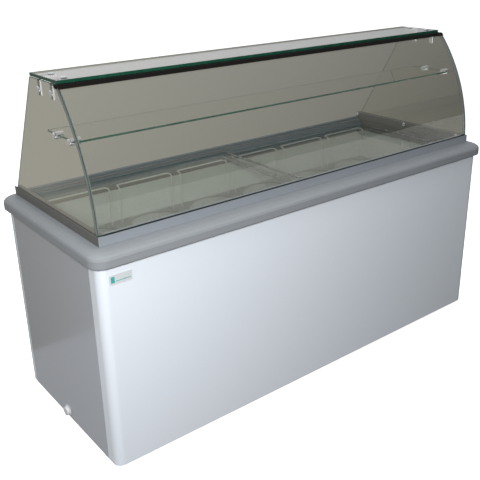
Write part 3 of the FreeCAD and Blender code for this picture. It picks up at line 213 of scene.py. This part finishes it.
def make_finishes(scene):
    """Makes every finish and keeps it under its name."""
    hue = scene.cabinet_colours
    size = scene.cabinet_sizes
    enamel = dict(rough=(0.25, 0.27), drift=0.004, wear_scale=60.0, grain_scale=160.0,
                  grain_depth=size.enamel_ripple, grain_strength=0.12, coat=0.25)
    FINISH["white_enamel"] = surface("white_enamel", hue.enamel, **enamel)
    # Painted shade: the side panels' finish is a darker copy of the front enamel
    FINISH["grey_enamel"] = surface("grey_enamel", hue.side_enamel, **enamel)
    FINISH["galvanised_sheet"] = surface("galvanised_sheet", (0.5, 0.52, 0.54), 0.9, (0.35, 0.6), 0.15, 40.0)
    FINISH["liner_sheet"] = surface("liner_sheet", hue.liner, 0.0, (0.35, 0.5), 0.03, 5.0, 220.0, 0.0004, 0.1)
    FINISH["insulation"] = surface("insulation", (0.75, 0.62, 0.3), 0.0, (0.85, 0.95), 0.1, 20.0, 400.0,
                                   0.001, 0.6)
    FINISH["copper_tube"] = surface("copper_tube", (0.72, 0.36, 0.22), 1.0, (0.25, 0.45), 0.12, 30.0)
    FINISH["grey_plastic"] = surface("grey_plastic", hue.collar, 0.0, (0.42, 0.52), 0.03, 8.0, 1400.0,
                                     0.0003, 0.25)
    FINISH["breaker_plastic"] = surface("breaker_plastic", hue.breaker, 0.0, (0.4, 0.5), 0.04, 8.0, 1200.0)
    FINISH["rail_aluminium"] = surface("rail_aluminium", hue.rail, 0.25, (0.32, 0.42), 0.04, 12.0, 500.0,
                                       0.0002, 0.2, (0.03, 1.0, 1.0))
    # Painted shade: the end rails' finish is a darker copy of the rail aluminium
    FINISH["rail_painted_shade"] = surface("rail_painted_shade", hue.end_rail, 0.25, (0.35, 0.45), 0.05, 12.0,
                                        500.0, 0.0002, 0.2, (1.0, 0.03, 1.0))
    FINISH["rear_rail_metal"] = surface("rear_rail_metal", (0.15, 0.175, 0.19), 0.35, (0.16, 0.26), 0.04,
                                        12.0)
    FINISH["canopy_glass"] = clear_glass("canopy_glass", hue.glass)
    FINISH["front_glass"] = clear_glass("front_glass", hue.front)
    FINISH["shelf_glass"] = clear_glass("shelf_glass", hue.clear)
    FINISH["roof_glass"] = clear_glass("roof_glass", hue.roof)
    FINISH["lid_glass"] = clear_glass("lid_glass", (0.94, 0.97, 0.96))
    FINISH["glass_edge"] = surface("glass_edge", hue.glass_edge, 0.0, (0.2, 0.35), 0.35, 25.0, 300.0)
    FINISH["end_edge"] = surface("end_edge", hue.end_edge, 0.3, (0.25, 0.4), 0.1, 25.0, 300.0)
    FINISH["seal_grey"] = surface("seal_grey", (0.17, 0.18, 0.18), 0.0, (0.4, 0.55), 0.06, 20.0, 700.0)
    FINISH["dark_profile"] = surface("dark_profile", hue.profile, 0.0, (0.55, 0.65), 0.06, 10.0, 700.0)
    dull = FINISH["dark_profile"].node_tree.nodes["Principled BSDF"]
    dull.inputs["Specular IOR Level"].default_value = 0.12
    FINISH["black_rubber"] = surface("black_rubber", (0.012, 0.014, 0.014), 0.0, (0.7, 0.85), 0.1, 20.0,
                                     900.0)
    FINISH["chrome_fittings"] = surface("chrome_fittings", (0.80, 0.81, 0.83), 0.82, (0.10, 0.18), 0.02, 60.0)
    FINISH["lid_trim"] = surface("lid_trim", (0.42, 0.43, 0.44), 0.9, (0.2, 0.3), 0.03, 30.0)
    FINISH["rack_plate"] = surface("rack_plate", (0.20, 0.21, 0.20), 0.2, (0.3, 0.45), 0.05, 15.0, 700.0)
    FINISH["rack_wire"] = surface("rack_wire", hue.wire, 0.0, (0.3, 0.45), 0.05, 30.0, 600.0)
    FINISH["compressor_black"] = surface("compressor_black", (0.02, 0.02, 0.022), 0.0, (0.3, 0.45), 0.1,
                                         15.0, 250.0)
    FINISH["black_plastic"] = surface("black_plastic", (0.025, 0.025, 0.028), 0.0, (0.38, 0.5), 0.05, 20.0,
                                      1300.0)
    FINISH["motor_metal"] = surface("motor_metal", (0.5, 0.5, 0.52), 0.9, (0.3, 0.45), 0.05, 30.0)
    FINISH["rocker_red"] = surface("rocker_red", (0.5, 0.02, 0.015), 0.0, (0.2, 0.3), 0.03, 40.0)
    FINISH["lamp_green"] = surface("lamp_green", (0.02, 0.4, 0.08), 0.0, (0.1, 0.2), 0.05, 60.0, coat=1.0)
    FINISH["gauge_white"] = surface("gauge_white", (0.8, 0.8, 0.79), 0.0, (0.2, 0.3), 0.02, 30.0)
    FINISH["control_grey"] = surface("control_grey", (0.38, 0.4, 0.43), 0.1, (0.35, 0.45), 0.03, 12.0, 1100.0)
    FINISH["drain_plastic"] = surface("drain_plastic", (0.66, 0.67, 0.68), 0.0, (0.4, 0.5), 0.04, 20.0, 900.0)
    FINISH["badge_silver"] = surface("badge_silver", (0.60, 0.63, 0.65), 0.15, (0.25, 0.35), 0.03, 30.0,
                                     500.0, 0.0002, 0.2, (0.05, 1.0, 1.0))
    FINISH["badge_band"] = surface("badge_band", hue.badge_band, 0.0, (0.25, 0.35), 0.04, 60.0)


# ---------------------------------------------------------------- dressing the carried-over parts
def body_of(node):
    """The body that a part moves with."""
    return NODES[node]["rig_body"]


def dress(node, finish, edge=0.0, segments=2):
    """Give a carried-over part its finish and rounded edges."""
    part = NODES[node]
    part.data.materials.clear()
    part.data.materials.append(FINISH[finish])
    if edge:
        weld = part.modifiers.new("weld", "WELD")
        weld.merge_threshold = WELD_GAP
        rounding = part.modifiers.new("edge", "BEVEL")
        rounding.width = edge
        rounding.segments = segments
        rounding.limit_method = "ANGLE"
        rounding.angle_limit = TURN_LIMIT
        rounding.harden_normals = False
        even = part.modifiers.new("even", "WEIGHTED_NORMAL")
        even.keep_sharp = True


def add_piece(name, mesh, body, finishes, smooth=True):
    """Link a new mesh as a piece of the cabinet."""
    piece = bpy.data.objects.new(name, mesh)
    bpy.context.scene.collection.objects.link(piece)
    for finish in finishes:
        mesh.materials.append(FINISH[finish])
    for face in mesh.polygons:
        face.use_smooth = smooth
    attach(piece, body)
    return piece


def add_block(bm, low, high, turn=None):
    """A box between two corners, turned about its own middle if a turn is given."""
    middle = (Vector(low) + Vector(high)) / 2
    size = Vector(high) - Vector(low)
    shape = Matrix.Translation(middle) @ (turn or Matrix.Identity(4)) @ Matrix.Diagonal((*size, 1))
    bmesh.ops.create_cube(bm, size=1.0, matrix=shape)


def islands(node):
    """Low and high corner of each loose solid of a part."""
    bm = bmesh.new()
    bm.from_mesh(NODES[node].data)
    bmesh.ops.remove_doubles(bm, verts=bm.verts, dist=0.00001)
    waiting = set(bm.verts)
    found = []
    while waiting:
        stack = [waiting.pop()]
        spots = []
        while stack:
            vert = stack.pop()
            spots.append(vert.co.copy())
            for edge in vert.link_edges:
                other = edge.other_vert(vert)
                if other in waiting:
                    waiting.remove(other)
                    stack.append(other)
        low = Vector([min(spot[i] for spot in spots) for i in range(3)])
        high = Vector([max(spot[i] for spot in spots) for i in range(3)])
        found.append((low, high))
    bm.free()
    return sorted(found, key=lambda pair: tuple(pair[0]))


def mesh_from(bm, name):
    """Turns a bmesh into a mesh and frees it."""
    mesh = bpy.data.meshes.new(name)
    bm.normal_update()
    bm.to_mesh(mesh)
    bm.free()
    return mesh


def polished_pane(node, across, arris, glass):
    """A copy of a pane with ground corners and a finish of its own on the edge faces.

    across is the axis along which the pane is thin, or "arc" for the curved front glass.
    """
    bm = bmesh.new()
    bm.from_mesh(NODES[node].data)
    bmesh.ops.remove_doubles(bm, verts=bm.verts, dist=WELD_GAP)
    bmesh.ops.dissolve_limit(bm, angle_limit=math.radians(0.3), verts=bm.verts, edges=bm.edges)
    bm.normal_update()
    edges = [e for e in bm.edges if len(e.link_faces) == 2
             and clear_face(e.link_faces[0], across) != clear_face(e.link_faces[1], across)]
    bmesh.ops.bevel(bm, geom=edges, offset=arris, segments=1, affect="EDGES")
    bm.normal_update()
    for face in bm.faces:
        face.material_index = 0 if clear_face(face, across) else 1
        if across == "arc" and abs(face.normal.x) > 0.9:
            face.material_index = 2
        face.smooth = False
    mesh = mesh_from(bm, node + "_polished")
    piece = add_piece(node + "_polished", mesh, body_of(node), (glass, "glass_edge", "end_edge"),
                      smooth=False)
    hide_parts(node)
    return piece


def corner_seal(bm, side):
    """The grey strip between the front pane's back and an end pane's front edge, along the curve."""
    low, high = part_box(f"{side}_side_glass")
    clear = 0.0006
    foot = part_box("front_glass_rail")[1][2] + clear
    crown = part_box("front_glass_top_profile")[0][2] - clear
    outer, inner = ARC_RADIUS - 0.0062, ARC_RADIUS - 0.0138
    steps = 48
    rings = []
    for i in range(steps + 1):
        rise = foot + (crown - foot) * i / steps - ARC_CENTRE[1]
        ring = []
        for radius in (outer, inner):
            depth = ARC_CENTRE[0] - math.sqrt(radius * radius - rise * rise)
            ring += [(depth, rise + ARC_CENTRE[1])]
        (y0, z0), (y1, z1) = ring
        rings.append([bm.verts.new(spot) for spot in ((low[0], y0, z0), (high[0], y0, z0), (high[0], y1, z1),
                                                      (low[0], y1, z1))])
    for here, above in zip(rings, rings[1:]):
        for j in range(4):
            bm.faces.new((here[j], here[(j + 1) % 4], above[(j + 1) % 4], above[j]))
    bm.faces.new(rings[0][::-1])
    bm.faces.new(rings[-1])
    bmesh.ops.recalc_face_normals(bm, faces=bm.faces)


def clear_face(face, across):
    """True for a face that the eye looks through."""
    if across == "arc":
        return abs(face.normal.x) < 0.5 and face.calc_area() > 0.02
    return abs(face.normal["xyz".index(across)]) > 0.9


class CABINET_OT_finishes(bpy.types.Operator):
    """Make every finish of the cabinet"""
    bl_idname = "cabinet.finishes"
    bl_label = "Finishes"

    def execute(self, context):
        make_finishes(context.scene)
        return {"FINISHED"}


class CABINET_OT_panels(bpy.types.Operator):
    """Finish the sheet metal of the cabinet's body"""
    bl_idname = "cabinet.panels"
    bl_label = "Panels"

    def execute(self, context):
        edge = context.scene.cabinet_sizes.sheet_edge
        for node in ("front_panel", "rear_panel"):
            dress(node, "white_enamel", edge * 0.5)
        # Painted shade: the side panels get the darker copy of the front enamel
        for node in ("left_side_panel", "right_side_panel"):
            dress(node, "grey_enamel", edge * 0.5)
        dress("base_pan", "galvanised_sheet", edge)
        dress("foam_insulation", "insulation")
        dress("evaporator_coil", "copper_tube")
        return {"FINISHED"}


class CABINET_OT_collar(bpy.types.Operator):
    """Finish the moulded collar, the breaker strip and the lid tracks"""
    bl_idname = "cabinet.collar"
    bl_label = "Collar and breaker strip"

    def execute(self, context):
        dress("top_collar", "grey_plastic")
        dress("breaker_strip", "breaker_plastic", 0.001)
        dress("front_lid_track", "grey_plastic", 0.0004)
        dress("rear_lid_track", "rear_rail_metal", 0.0004)
        dress("inner_liner", "liner_sheet", 0.0005)
        return {"FINISHED"}


class CABINET_OT_rails(bpy.types.Operator):
    """Finish the aluminium rails and the rubber in their slots"""
    bl_idname = "cabinet.rails"
    bl_label = "Glass rails"

    def execute(self, context):
        edge = context.scene.cabinet_sizes.rail_edge
        dress("front_glass_rail", "rail_aluminium", edge)
        # Painted shade: both end rails get the darker copy of the rail aluminium
        dress("left_glass_rail", "rail_painted_shade", edge)
        dress("right_glass_rail", "rail_painted_shade", edge)
        dress("rear_rail", "rear_rail_metal", edge)
        dress("glass_gaskets", "black_rubber")
        dress("front_glass_top_profile", "dark_profile", edge)
        return {"FINISHED"}


class CABINET_OT_canopy(bpy.types.Operator):
    """Make the canopy's panes with polished edges"""
    bl_idname = "cabinet.canopy"
    bl_label = "Canopy glass"

    def execute(self, context):
        arris = context.scene.cabinet_sizes.glass_arris
        for node, across, glass in (("front_glass", "arc", "front_glass"),
                                    ("left_side_glass", "x", "canopy_glass"),
                                    ("right_side_glass", "x", "canopy_glass"),
                                    ("top_glass", "z", "roof_glass"),
                                    ("glass_shelf", "z", "shelf_glass")):
            polished_pane(node, across, arris, glass)
        bm = bmesh.new()
        for side in ("left", "right"):
            corner_seal(bm, side)
        add_piece("corner_seals", mesh_from(bm, "corner_seals"), ROOT, ("seal_grey",),
                  smooth=False)
        return {"FINISHED"}


class CABINET_OT_fittings(bpy.types.Operator):
    """Finish the chrome caps, clamps, brackets and screws"""
    bl_idname = "cabinet.fittings"
    bl_label = "Chrome fittings"

    def execute(self, context):
        for node in ("canopy_caps", "canopy_brackets", "shelf_clamps", "rail_screws", "panel_screws"):
            dress(node, "chrome_fittings", 0.0004)
        film = 0.0001
        bm = bmesh.new()
        for low, high in islands("panel_screws"):
            middle = (low + high) / 2
            for turn in (20, 110):
                add_block(bm, (middle.x - 0.0021, high.y, middle.z - 0.0004),
                          (middle.x + 0.0021, high.y + film, middle.z + 0.0004),
                          Matrix.Rotation(math.radians(turn), 4, "Y"))
        for low, high in islands("rail_screws"):
            middle = (low + high) / 2
            inward = high.x if middle.x < 0 else low.x
            reach = film if middle.x < 0 else -film
            for turn in (30, 120):
                add_block(bm, (min(inward, inward + reach), middle.y - 0.0045, middle.z - 0.0007),
                          (max(inward, inward + reach), middle.y + 0.0045, middle.z + 0.0007),
                          Matrix.Rotation(math.radians(turn), 4, "X"))
        add_piece("screw_slots", mesh_from(bm, "screw_slots"), ROOT, ("black_plastic",),
                  smooth=False)
        return {"FINISHED"}


class CABINET_OT_lids(bpy.types.Operator):
    """Make the sliding lids with their edge trims"""
    bl_idname = "cabinet.lids"
    bl_label = "Sliding lids"

    def execute(self, context):
        arris = context.scene.cabinet_sizes.glass_arris
        for side in ("left", "right"):
            polished_pane(f"{side}_lid_glass", "z", arris, "lid_glass")
            dress(f"{side}_lid_trims", "lid_trim", 0.0004)
        return {"FINISHED"}


class CABINET_OT_racks(bpy.types.Operator):
    """Finish the tub plates and their wire hangers"""
    bl_idname = "cabinet.racks"
    bl_label = "Tub racks"

    def execute(self, context):
        for side in ("left", "right"):
            dress(f"{side}_tub_plate", "rack_plate", 0.0005)
            dress(f"{side}_tub_hangers", "rack_wire")
        return {"FINISHED"}


class CABINET_OT_cooling(bpy.types.Operator):
    """Finish the cooling unit behind the grille"""
    bl_idname = "cabinet.cooling"
    bl_label = "Cooling unit"

    def execute(self, context):
        dress("compressor", "compressor_black")
        dress("compressor_base", "galvanised_sheet", 0.0004)
        dress("compressor_mounts", "black_rubber", 0.001)
        dress("compressor_terminal_box", "black_plastic", 0.003)
        dress("condenser", "galvanised_sheet", 0.0003)
        dress("fan_shroud", "galvanised_sheet", 0.0004)
        dress("fan_blade", "black_plastic", 0.0004)
        dress("fan_motor", "motor_metal", 0.001)
        dress("fan_bracket", "galvanised_sheet", 0.0004)
        dress("filter_drier", "copper_tube")
        dress("refrigerant_lines", "copper_tube")
        return {"FINISHED"}


class CABINET_OT_controls(bpy.types.Operator):
    """Finish the controls, grille and inlet on the server's side"""
    bl_idname = "cabinet.controls"
    bl_label = "Controls and grille"

    def execute(self, context):
        dress("control_plate", "control_grey", 0.0005)
        dress("rear_grille", "control_grey", 0.0005)
        dress("thermostat", "black_plastic", 0.001)
        dress("thermostat_knob", "black_plastic", 0.001, 3)
        dress("switch_housing", "black_plastic", 0.0005)
        dress("power_rocker", "rocker_red", 0.0006)
        dress("pilot_lamp", "lamp_green", 0.0006)
        dress("thermometer", "gauge_white", 0.0008)
        dress("power_inlet", "black_plastic", 0.0008)
        return {"FINISHED"}


class CABINET_OT_marks(bpy.types.Operator):
    """Mark the knob, its scale, and the thermometer's scale and needle"""
    bl_idname = "cabinet.marks"
    bl_label = "Scales and pointers"

    def execute(self, context):
        low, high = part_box("thermostat_knob")
        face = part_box("control_plate")[1][1]
        middle = ((low[0] + high[0]) / 2, (low[2] + high[2]) / 2)
        bm = bmesh.new()
        add_block(bm, (middle[0] - 0.0009, high[1], middle[1] + 0.004),
                  (middle[0] + 0.0009, high[1] + 0.0002, middle[1] + 0.0145))
        add_piece("knob_pointer", mesh_from(bm, "knob_pointer"), body_of("thermostat_knob"),
                  ("gauge_white",), smooth=False)
        bm = bmesh.new()
        for i in range(10):
            add_tick(bm, middle, face, 0.0225, 0.0265, 0.0011, 90 - 30 * i)
        add_piece("knob_scale", mesh_from(bm, "knob_scale"), ROOT, ("gauge_white",),
                  smooth=False)
        low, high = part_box("thermometer")
        middle = ((low[0] + high[0]) / 2, (low[2] + high[2]) / 2)
        face = high[1] - 0.0015
        bm = bmesh.new()
        for i in range(11):
            add_tick(bm, middle, face, 0.0125, 0.0150, 0.0008, 225 - 27 * i)
        add_tick(bm, middle, face + 0.0003, -0.003, 0.0120, 0.0010, 160)
        bmesh.ops.create_cone(bm, cap_ends=True, segments=24, radius1=0.0018, radius2=0.0015, depth=0.001,
                              matrix=Matrix.Translation((middle[0], face + 0.0005, middle[1]))
                              @ Matrix.Rotation(math.radians(-90), 4, "X"))
        add_piece("thermometer_scale", mesh_from(bm, "thermometer_scale"), ROOT,
                  ("black_plastic",), smooth=False)
        return {"FINISHED"}


def add_tick(bm, middle, face, inner, outer, wide, degrees):
    """A raised line on a face towards +Y, along a radius at an angle seen from behind the cabinet."""
    lift = 0.0003
    turn = Matrix.Rotation(-math.radians(degrees), 4, "Y")
    shape = (Matrix.Translation((middle[0], face + lift / 2, middle[1])) @ turn
             @ Matrix.Translation(((inner + outer) / 2, 0, 0))
             @ Matrix.Diagonal((outer - inner, lift, wide, 1)))
    bmesh.ops.create_cube(bm, size=1.0, matrix=shape)


class CABINET_OT_drain(bpy.types.Operator):
    """Finish the drain and the feet"""
    bl_idname = "cabinet.drain"
    bl_label = "Drain and feet"

    def execute(self, context):
        dress("drain_tube", "drain_plastic", 0.0006)
        dress("drain_cap", "drain_plastic", 0.0012, 3)
        dress("feet", "black_rubber", 0.0015)
        return {"FINISHED"}


class CABINET_OT_badge(bpy.types.Operator):
    """Finish the blank badge on the front panel, with its plain coloured band"""
    bl_idname = "cabinet.badge"
    bl_label = "Badge"

    def execute(self, context):
        dress("badge_plate", "badge_silver", 0.0004)
        low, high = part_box("badge_plate")
        bm = bmesh.new()
        lift = 0.0003
        add_block(bm, (low[0] + 0.004, low[1] - lift, low[2] + 0.006),
                  (low[0] + 0.016, low[1], high[2] - 0.006))
        add_block(bm, (low[0] + 0.021, low[1] - lift, low[2] + 0.009),
                  (high[0] - 0.005, low[1], low[2] + 0.011))
        add_piece("badge_band", mesh_from(bm, "badge_band"), body_of("badge_plate"),
                  ("badge_band",), smooth=False)
        return {"FINISHED"}


# ---------------------------------------------------------------- stage
CAMERA_AT = Vector((-1.6511, -1.9817, 1.5345))
CAMERA_HEADING = math.radians(38.19)
CAMERA_DIP = math.radians(21.635)
CAMERA_ROLL = math.radians(-0.96)
CAMERA_LENS = 53.10
CAMERA_SHIFT = (-0.0159, -0.0344)
LAMPS = (  # name, place, target, size in metres, power in watts
    ("key", (-1.75, -2.1, 1.70), (-0.3, -0.2, 0.6), (0.6, 0.4), 80),
    ("top", (-0.3, -0.7, 2.9), (0.0, 0.1, 0.7), (2.0, 0.8), 17),
    ("back", (0.6, 2.4, 2.2), (0.0, 0.0, 0.6), (1.5, 1.0), 45),
)


def camera_matrix():
    """The camera's place and turn: looking along a heading from +Y towards +X, dipped below level."""
    ahead = Vector((math.sin(CAMERA_HEADING) * math.cos(CAMERA_DIP),
                    math.cos(CAMERA_HEADING) * math.cos(CAMERA_DIP), -math.sin(CAMERA_DIP)))
    right = ahead.cross(Vector((0, 0, 1))).normalized()
    up = right.cross(ahead)
    across = right * math.cos(CAMERA_ROLL) + up * math.sin(CAMERA_ROLL)
    above = up * math.cos(CAMERA_ROLL) - right * math.sin(CAMERA_ROLL)
    turn = Matrix((across, above, -ahead)).transposed()
    return Matrix.Translation(CAMERA_AT) @ turn.to_4x4()


def area_lamp(name, place, target, size, power):
    """A soft lamp that is kept out of reflections, aimed at a target."""
    lamp = bpy.data.lights.new(name, "AREA")
    lamp.shape = "RECTANGLE"
    lamp.size, lamp.size_y = size
    lamp.energy = power
    holder = bpy.data.objects.new(name, lamp)
    holder.location = place
    holder.rotation_euler = (Vector(target) - Vector(place)).to_track_quat("-Z", "Y").to_euler()
    holder.visible_glossy = False
    holder.visible_transmission = False
    bpy.context.scene.collection.objects.link(holder)


def glowing_falloff_card(scene):
    """A soft grey glowing card close behind the cabinet, seen only through glass and in gloss; its glow is
    painted light, brighter at the left and fading to the right like a lamp's falloff.
    """
    half_wide, half_tall, behind = 2.4, 0.635, 0.53
    bm = bmesh.new()
    bmesh.ops.create_grid(bm, x_segments=1, y_segments=1, size=1.0,
                          matrix=Matrix.Translation((0, behind, half_tall))
                          @ Matrix.Rotation(math.radians(90), 4, "X")
                          @ Matrix.Diagonal((half_wide, half_tall, 1, 1)))
    card = bpy.data.objects.new("glowing_falloff_card", mesh_from(bm, "glowing_falloff_card"))
    scene.collection.objects.link(card)
    made, tree, shader = new_material("card_painted_falloff")
    shader.inputs["Base Color"].default_value = (0, 0, 0, 1)
    shader.inputs["Specular IOR Level"].default_value = 0.0
    shader.inputs["Emission Color"].default_value = (1.0, 0.985, 0.87, 1)
    # Painted light: the glow fades from the left to the right like a lamp's falloff on a wall
    place = tree.nodes.new("ShaderNodeTexCoord")
    split = tree.nodes.new("ShaderNodeSeparateXYZ")
    share = tree.nodes.new("ShaderNodeMapRange")
    for key, value in (("From Min", -0.6), ("From Max", 1.9), ("To Min", 0.34), ("To Max", 0.16)):
        share.inputs[key].default_value = value
    tree.links.new(place.outputs["Object"], split.inputs["Vector"])
    tree.links.new(split.outputs["X"], share.inputs["Value"])
    tree.links.new(share.outputs["Result"], shader.inputs["Emission Strength"])
    card.data.materials.append(made)
    card.visible_camera = False
    card.visible_diffuse = False
    card.visible_shadow = False


def studio_world(level, overhead, behind):
    """Soft sky, dim in front and brighter overhead and behind the cabinet, with a pale backdrop in view."""
    world = bpy.data.worlds.new("studio")
    world.use_nodes = True
    tree = world.node_tree
    sky = tree.nodes["Background"]
    place = tree.nodes.new("ShaderNodeTexCoord")
    split = tree.nodes.new("ShaderNodeSeparateXYZ")
    tree.links.new(place.outputs["Generated"], split.inputs["Vector"])
    total = tree.nodes.new("ShaderNodeMath")
    total.operation = "ADD"
    for slot, (axis, low, high) in enumerate((("Z", level, overhead), ("Y", 0.0, behind))):
        share = tree.nodes.new("ShaderNodeMapRange")
        share.inputs["To Min"].default_value = low
        share.inputs["To Max"].default_value = high
        tree.links.new(split.outputs[axis], share.inputs["Value"])
        tree.links.new(share.outputs["Result"], total.inputs[slot])
    tree.links.new(total.outputs["Value"], sky.inputs["Strength"])
    sky.inputs["Color"].default_value = (0.95, 0.97, 1.0, 1)
    backdrop = tree.nodes.new("ShaderNodeBackground")
    backdrop.inputs["Color"].default_value = (0.95, 0.95, 0.95, 1)
    path = tree.nodes.new("ShaderNodeLightPath")
    mix = tree.nodes.new("ShaderNodeMixShader")
    tree.links.new(path.outputs["Is Camera Ray"], mix.inputs["Fac"])
    tree.links.new(sky.outputs["Background"], mix.inputs[1])
    tree.links.new(backdrop.outputs["Background"], mix.inputs[2])
    tree.links.new(mix.outputs["Shader"], tree.nodes["World Output"].inputs["Surface"])
    return world


class CABINET_OT_stage(bpy.types.Operator):
    """Set up the floor, the soft lights and the camera"""
    bl_idname = "cabinet.stage"
    bl_label = "Stage"

    def execute(self, context):
        scene = context.scene
        half = scene.cabinet_sizes.stage_size
        bm = bmesh.new()
        bmesh.ops.create_grid(bm, x_segments=1, y_segments=1, size=half)
        floor = bpy.data.objects.new("floor", mesh_from(bm, "floor"))
        scene.collection.objects.link(floor)
        paint = surface("floor_paint", (0.80, 0.80, 0.80), 0.0, (0.6, 0.7), 0.005, 2.0, 200.0, 0.0002, 0.05)
        shader = paint.node_tree.nodes["Principled BSDF"]
        shader.inputs["Emission Color"].default_value = (1.0, 1.0, 1.0, 1)
        shader.inputs["Emission Strength"].default_value = 0.75
        floor.data.materials.append(paint)
        floor.visible_diffuse = False
        floor.visible_glossy = False
        # A glowing card with painted light falloff, seen only through glass and in gloss
        glowing_falloff_card(scene)
        scene.view_settings.view_transform = "Standard"
        scene.world = studio_world(0.05, 0.50, 0.70)
        for lamp in LAMPS:
            area_lamp(*lamp)
        lens = bpy.data.cameras.new("camera")
        lens.sensor_width = 36
        lens.lens = CAMERA_LENS
        lens.shift_x, lens.shift_y = CAMERA_SHIFT
        lens.clip_end = 100
        holder = bpy.data.objects.new("camera", lens)
        holder.matrix_world = camera_matrix()
        scene.collection.objects.link(holder)
        scene.camera = holder
        return {"FINISHED"}


PIECES = (CABINET_OT_finishes, CABINET_OT_stage, CABINET_OT_panels, CABINET_OT_collar, CABINET_OT_rails,
          CABINET_OT_canopy, CABINET_OT_fittings, CABINET_OT_lids, CABINET_OT_racks, CABINET_OT_cooling,
          CABINET_OT_controls, CABINET_OT_marks, CABINET_OT_drain, CABINET_OT_badge)


class CABINET_PT_panel(bpy.types.Panel):
    """The cabinet's pieces, one button each"""
    bl_idname = "CABINET_PT_panel"
    bl_label = "Dipping cabinet"
    bl_space_type = "VIEW_3D"
    bl_region_type = "UI"
    bl_category = "Cabinet"

    def draw(self, context):
        layout = self.layout
        for group in (context.scene.cabinet_colours, context.scene.cabinet_sizes):
            for name in group.__annotations__:
                layout.prop(group, name)
        for operator in PIECES:
            layout.operator(operator.bl_idname)


CLASSES = (CabinetColours, CabinetSizes, *PIECES, CABINET_PT_panel)


def register():
    for cls in CLASSES:
        bpy.utils.register_class(cls)
    bpy.types.Scene.cabinet_colours = PointerProperty(type=CabinetColours)
    bpy.types.Scene.cabinet_sizes = PointerProperty(type=CabinetSizes)


def unregister():
    del bpy.types.Scene.cabinet_colours
    del bpy.types.Scene.cabinet_sizes
    for cls in reversed(CLASSES):
        bpy.utils.unregister_class(cls)


def main():
    register()
    for operator in PIECES:
        group, name = operator.bl_idname.split(".")
        getattr(getattr(bpy.ops, group), name)()


if __name__ == "__main__":
    main()
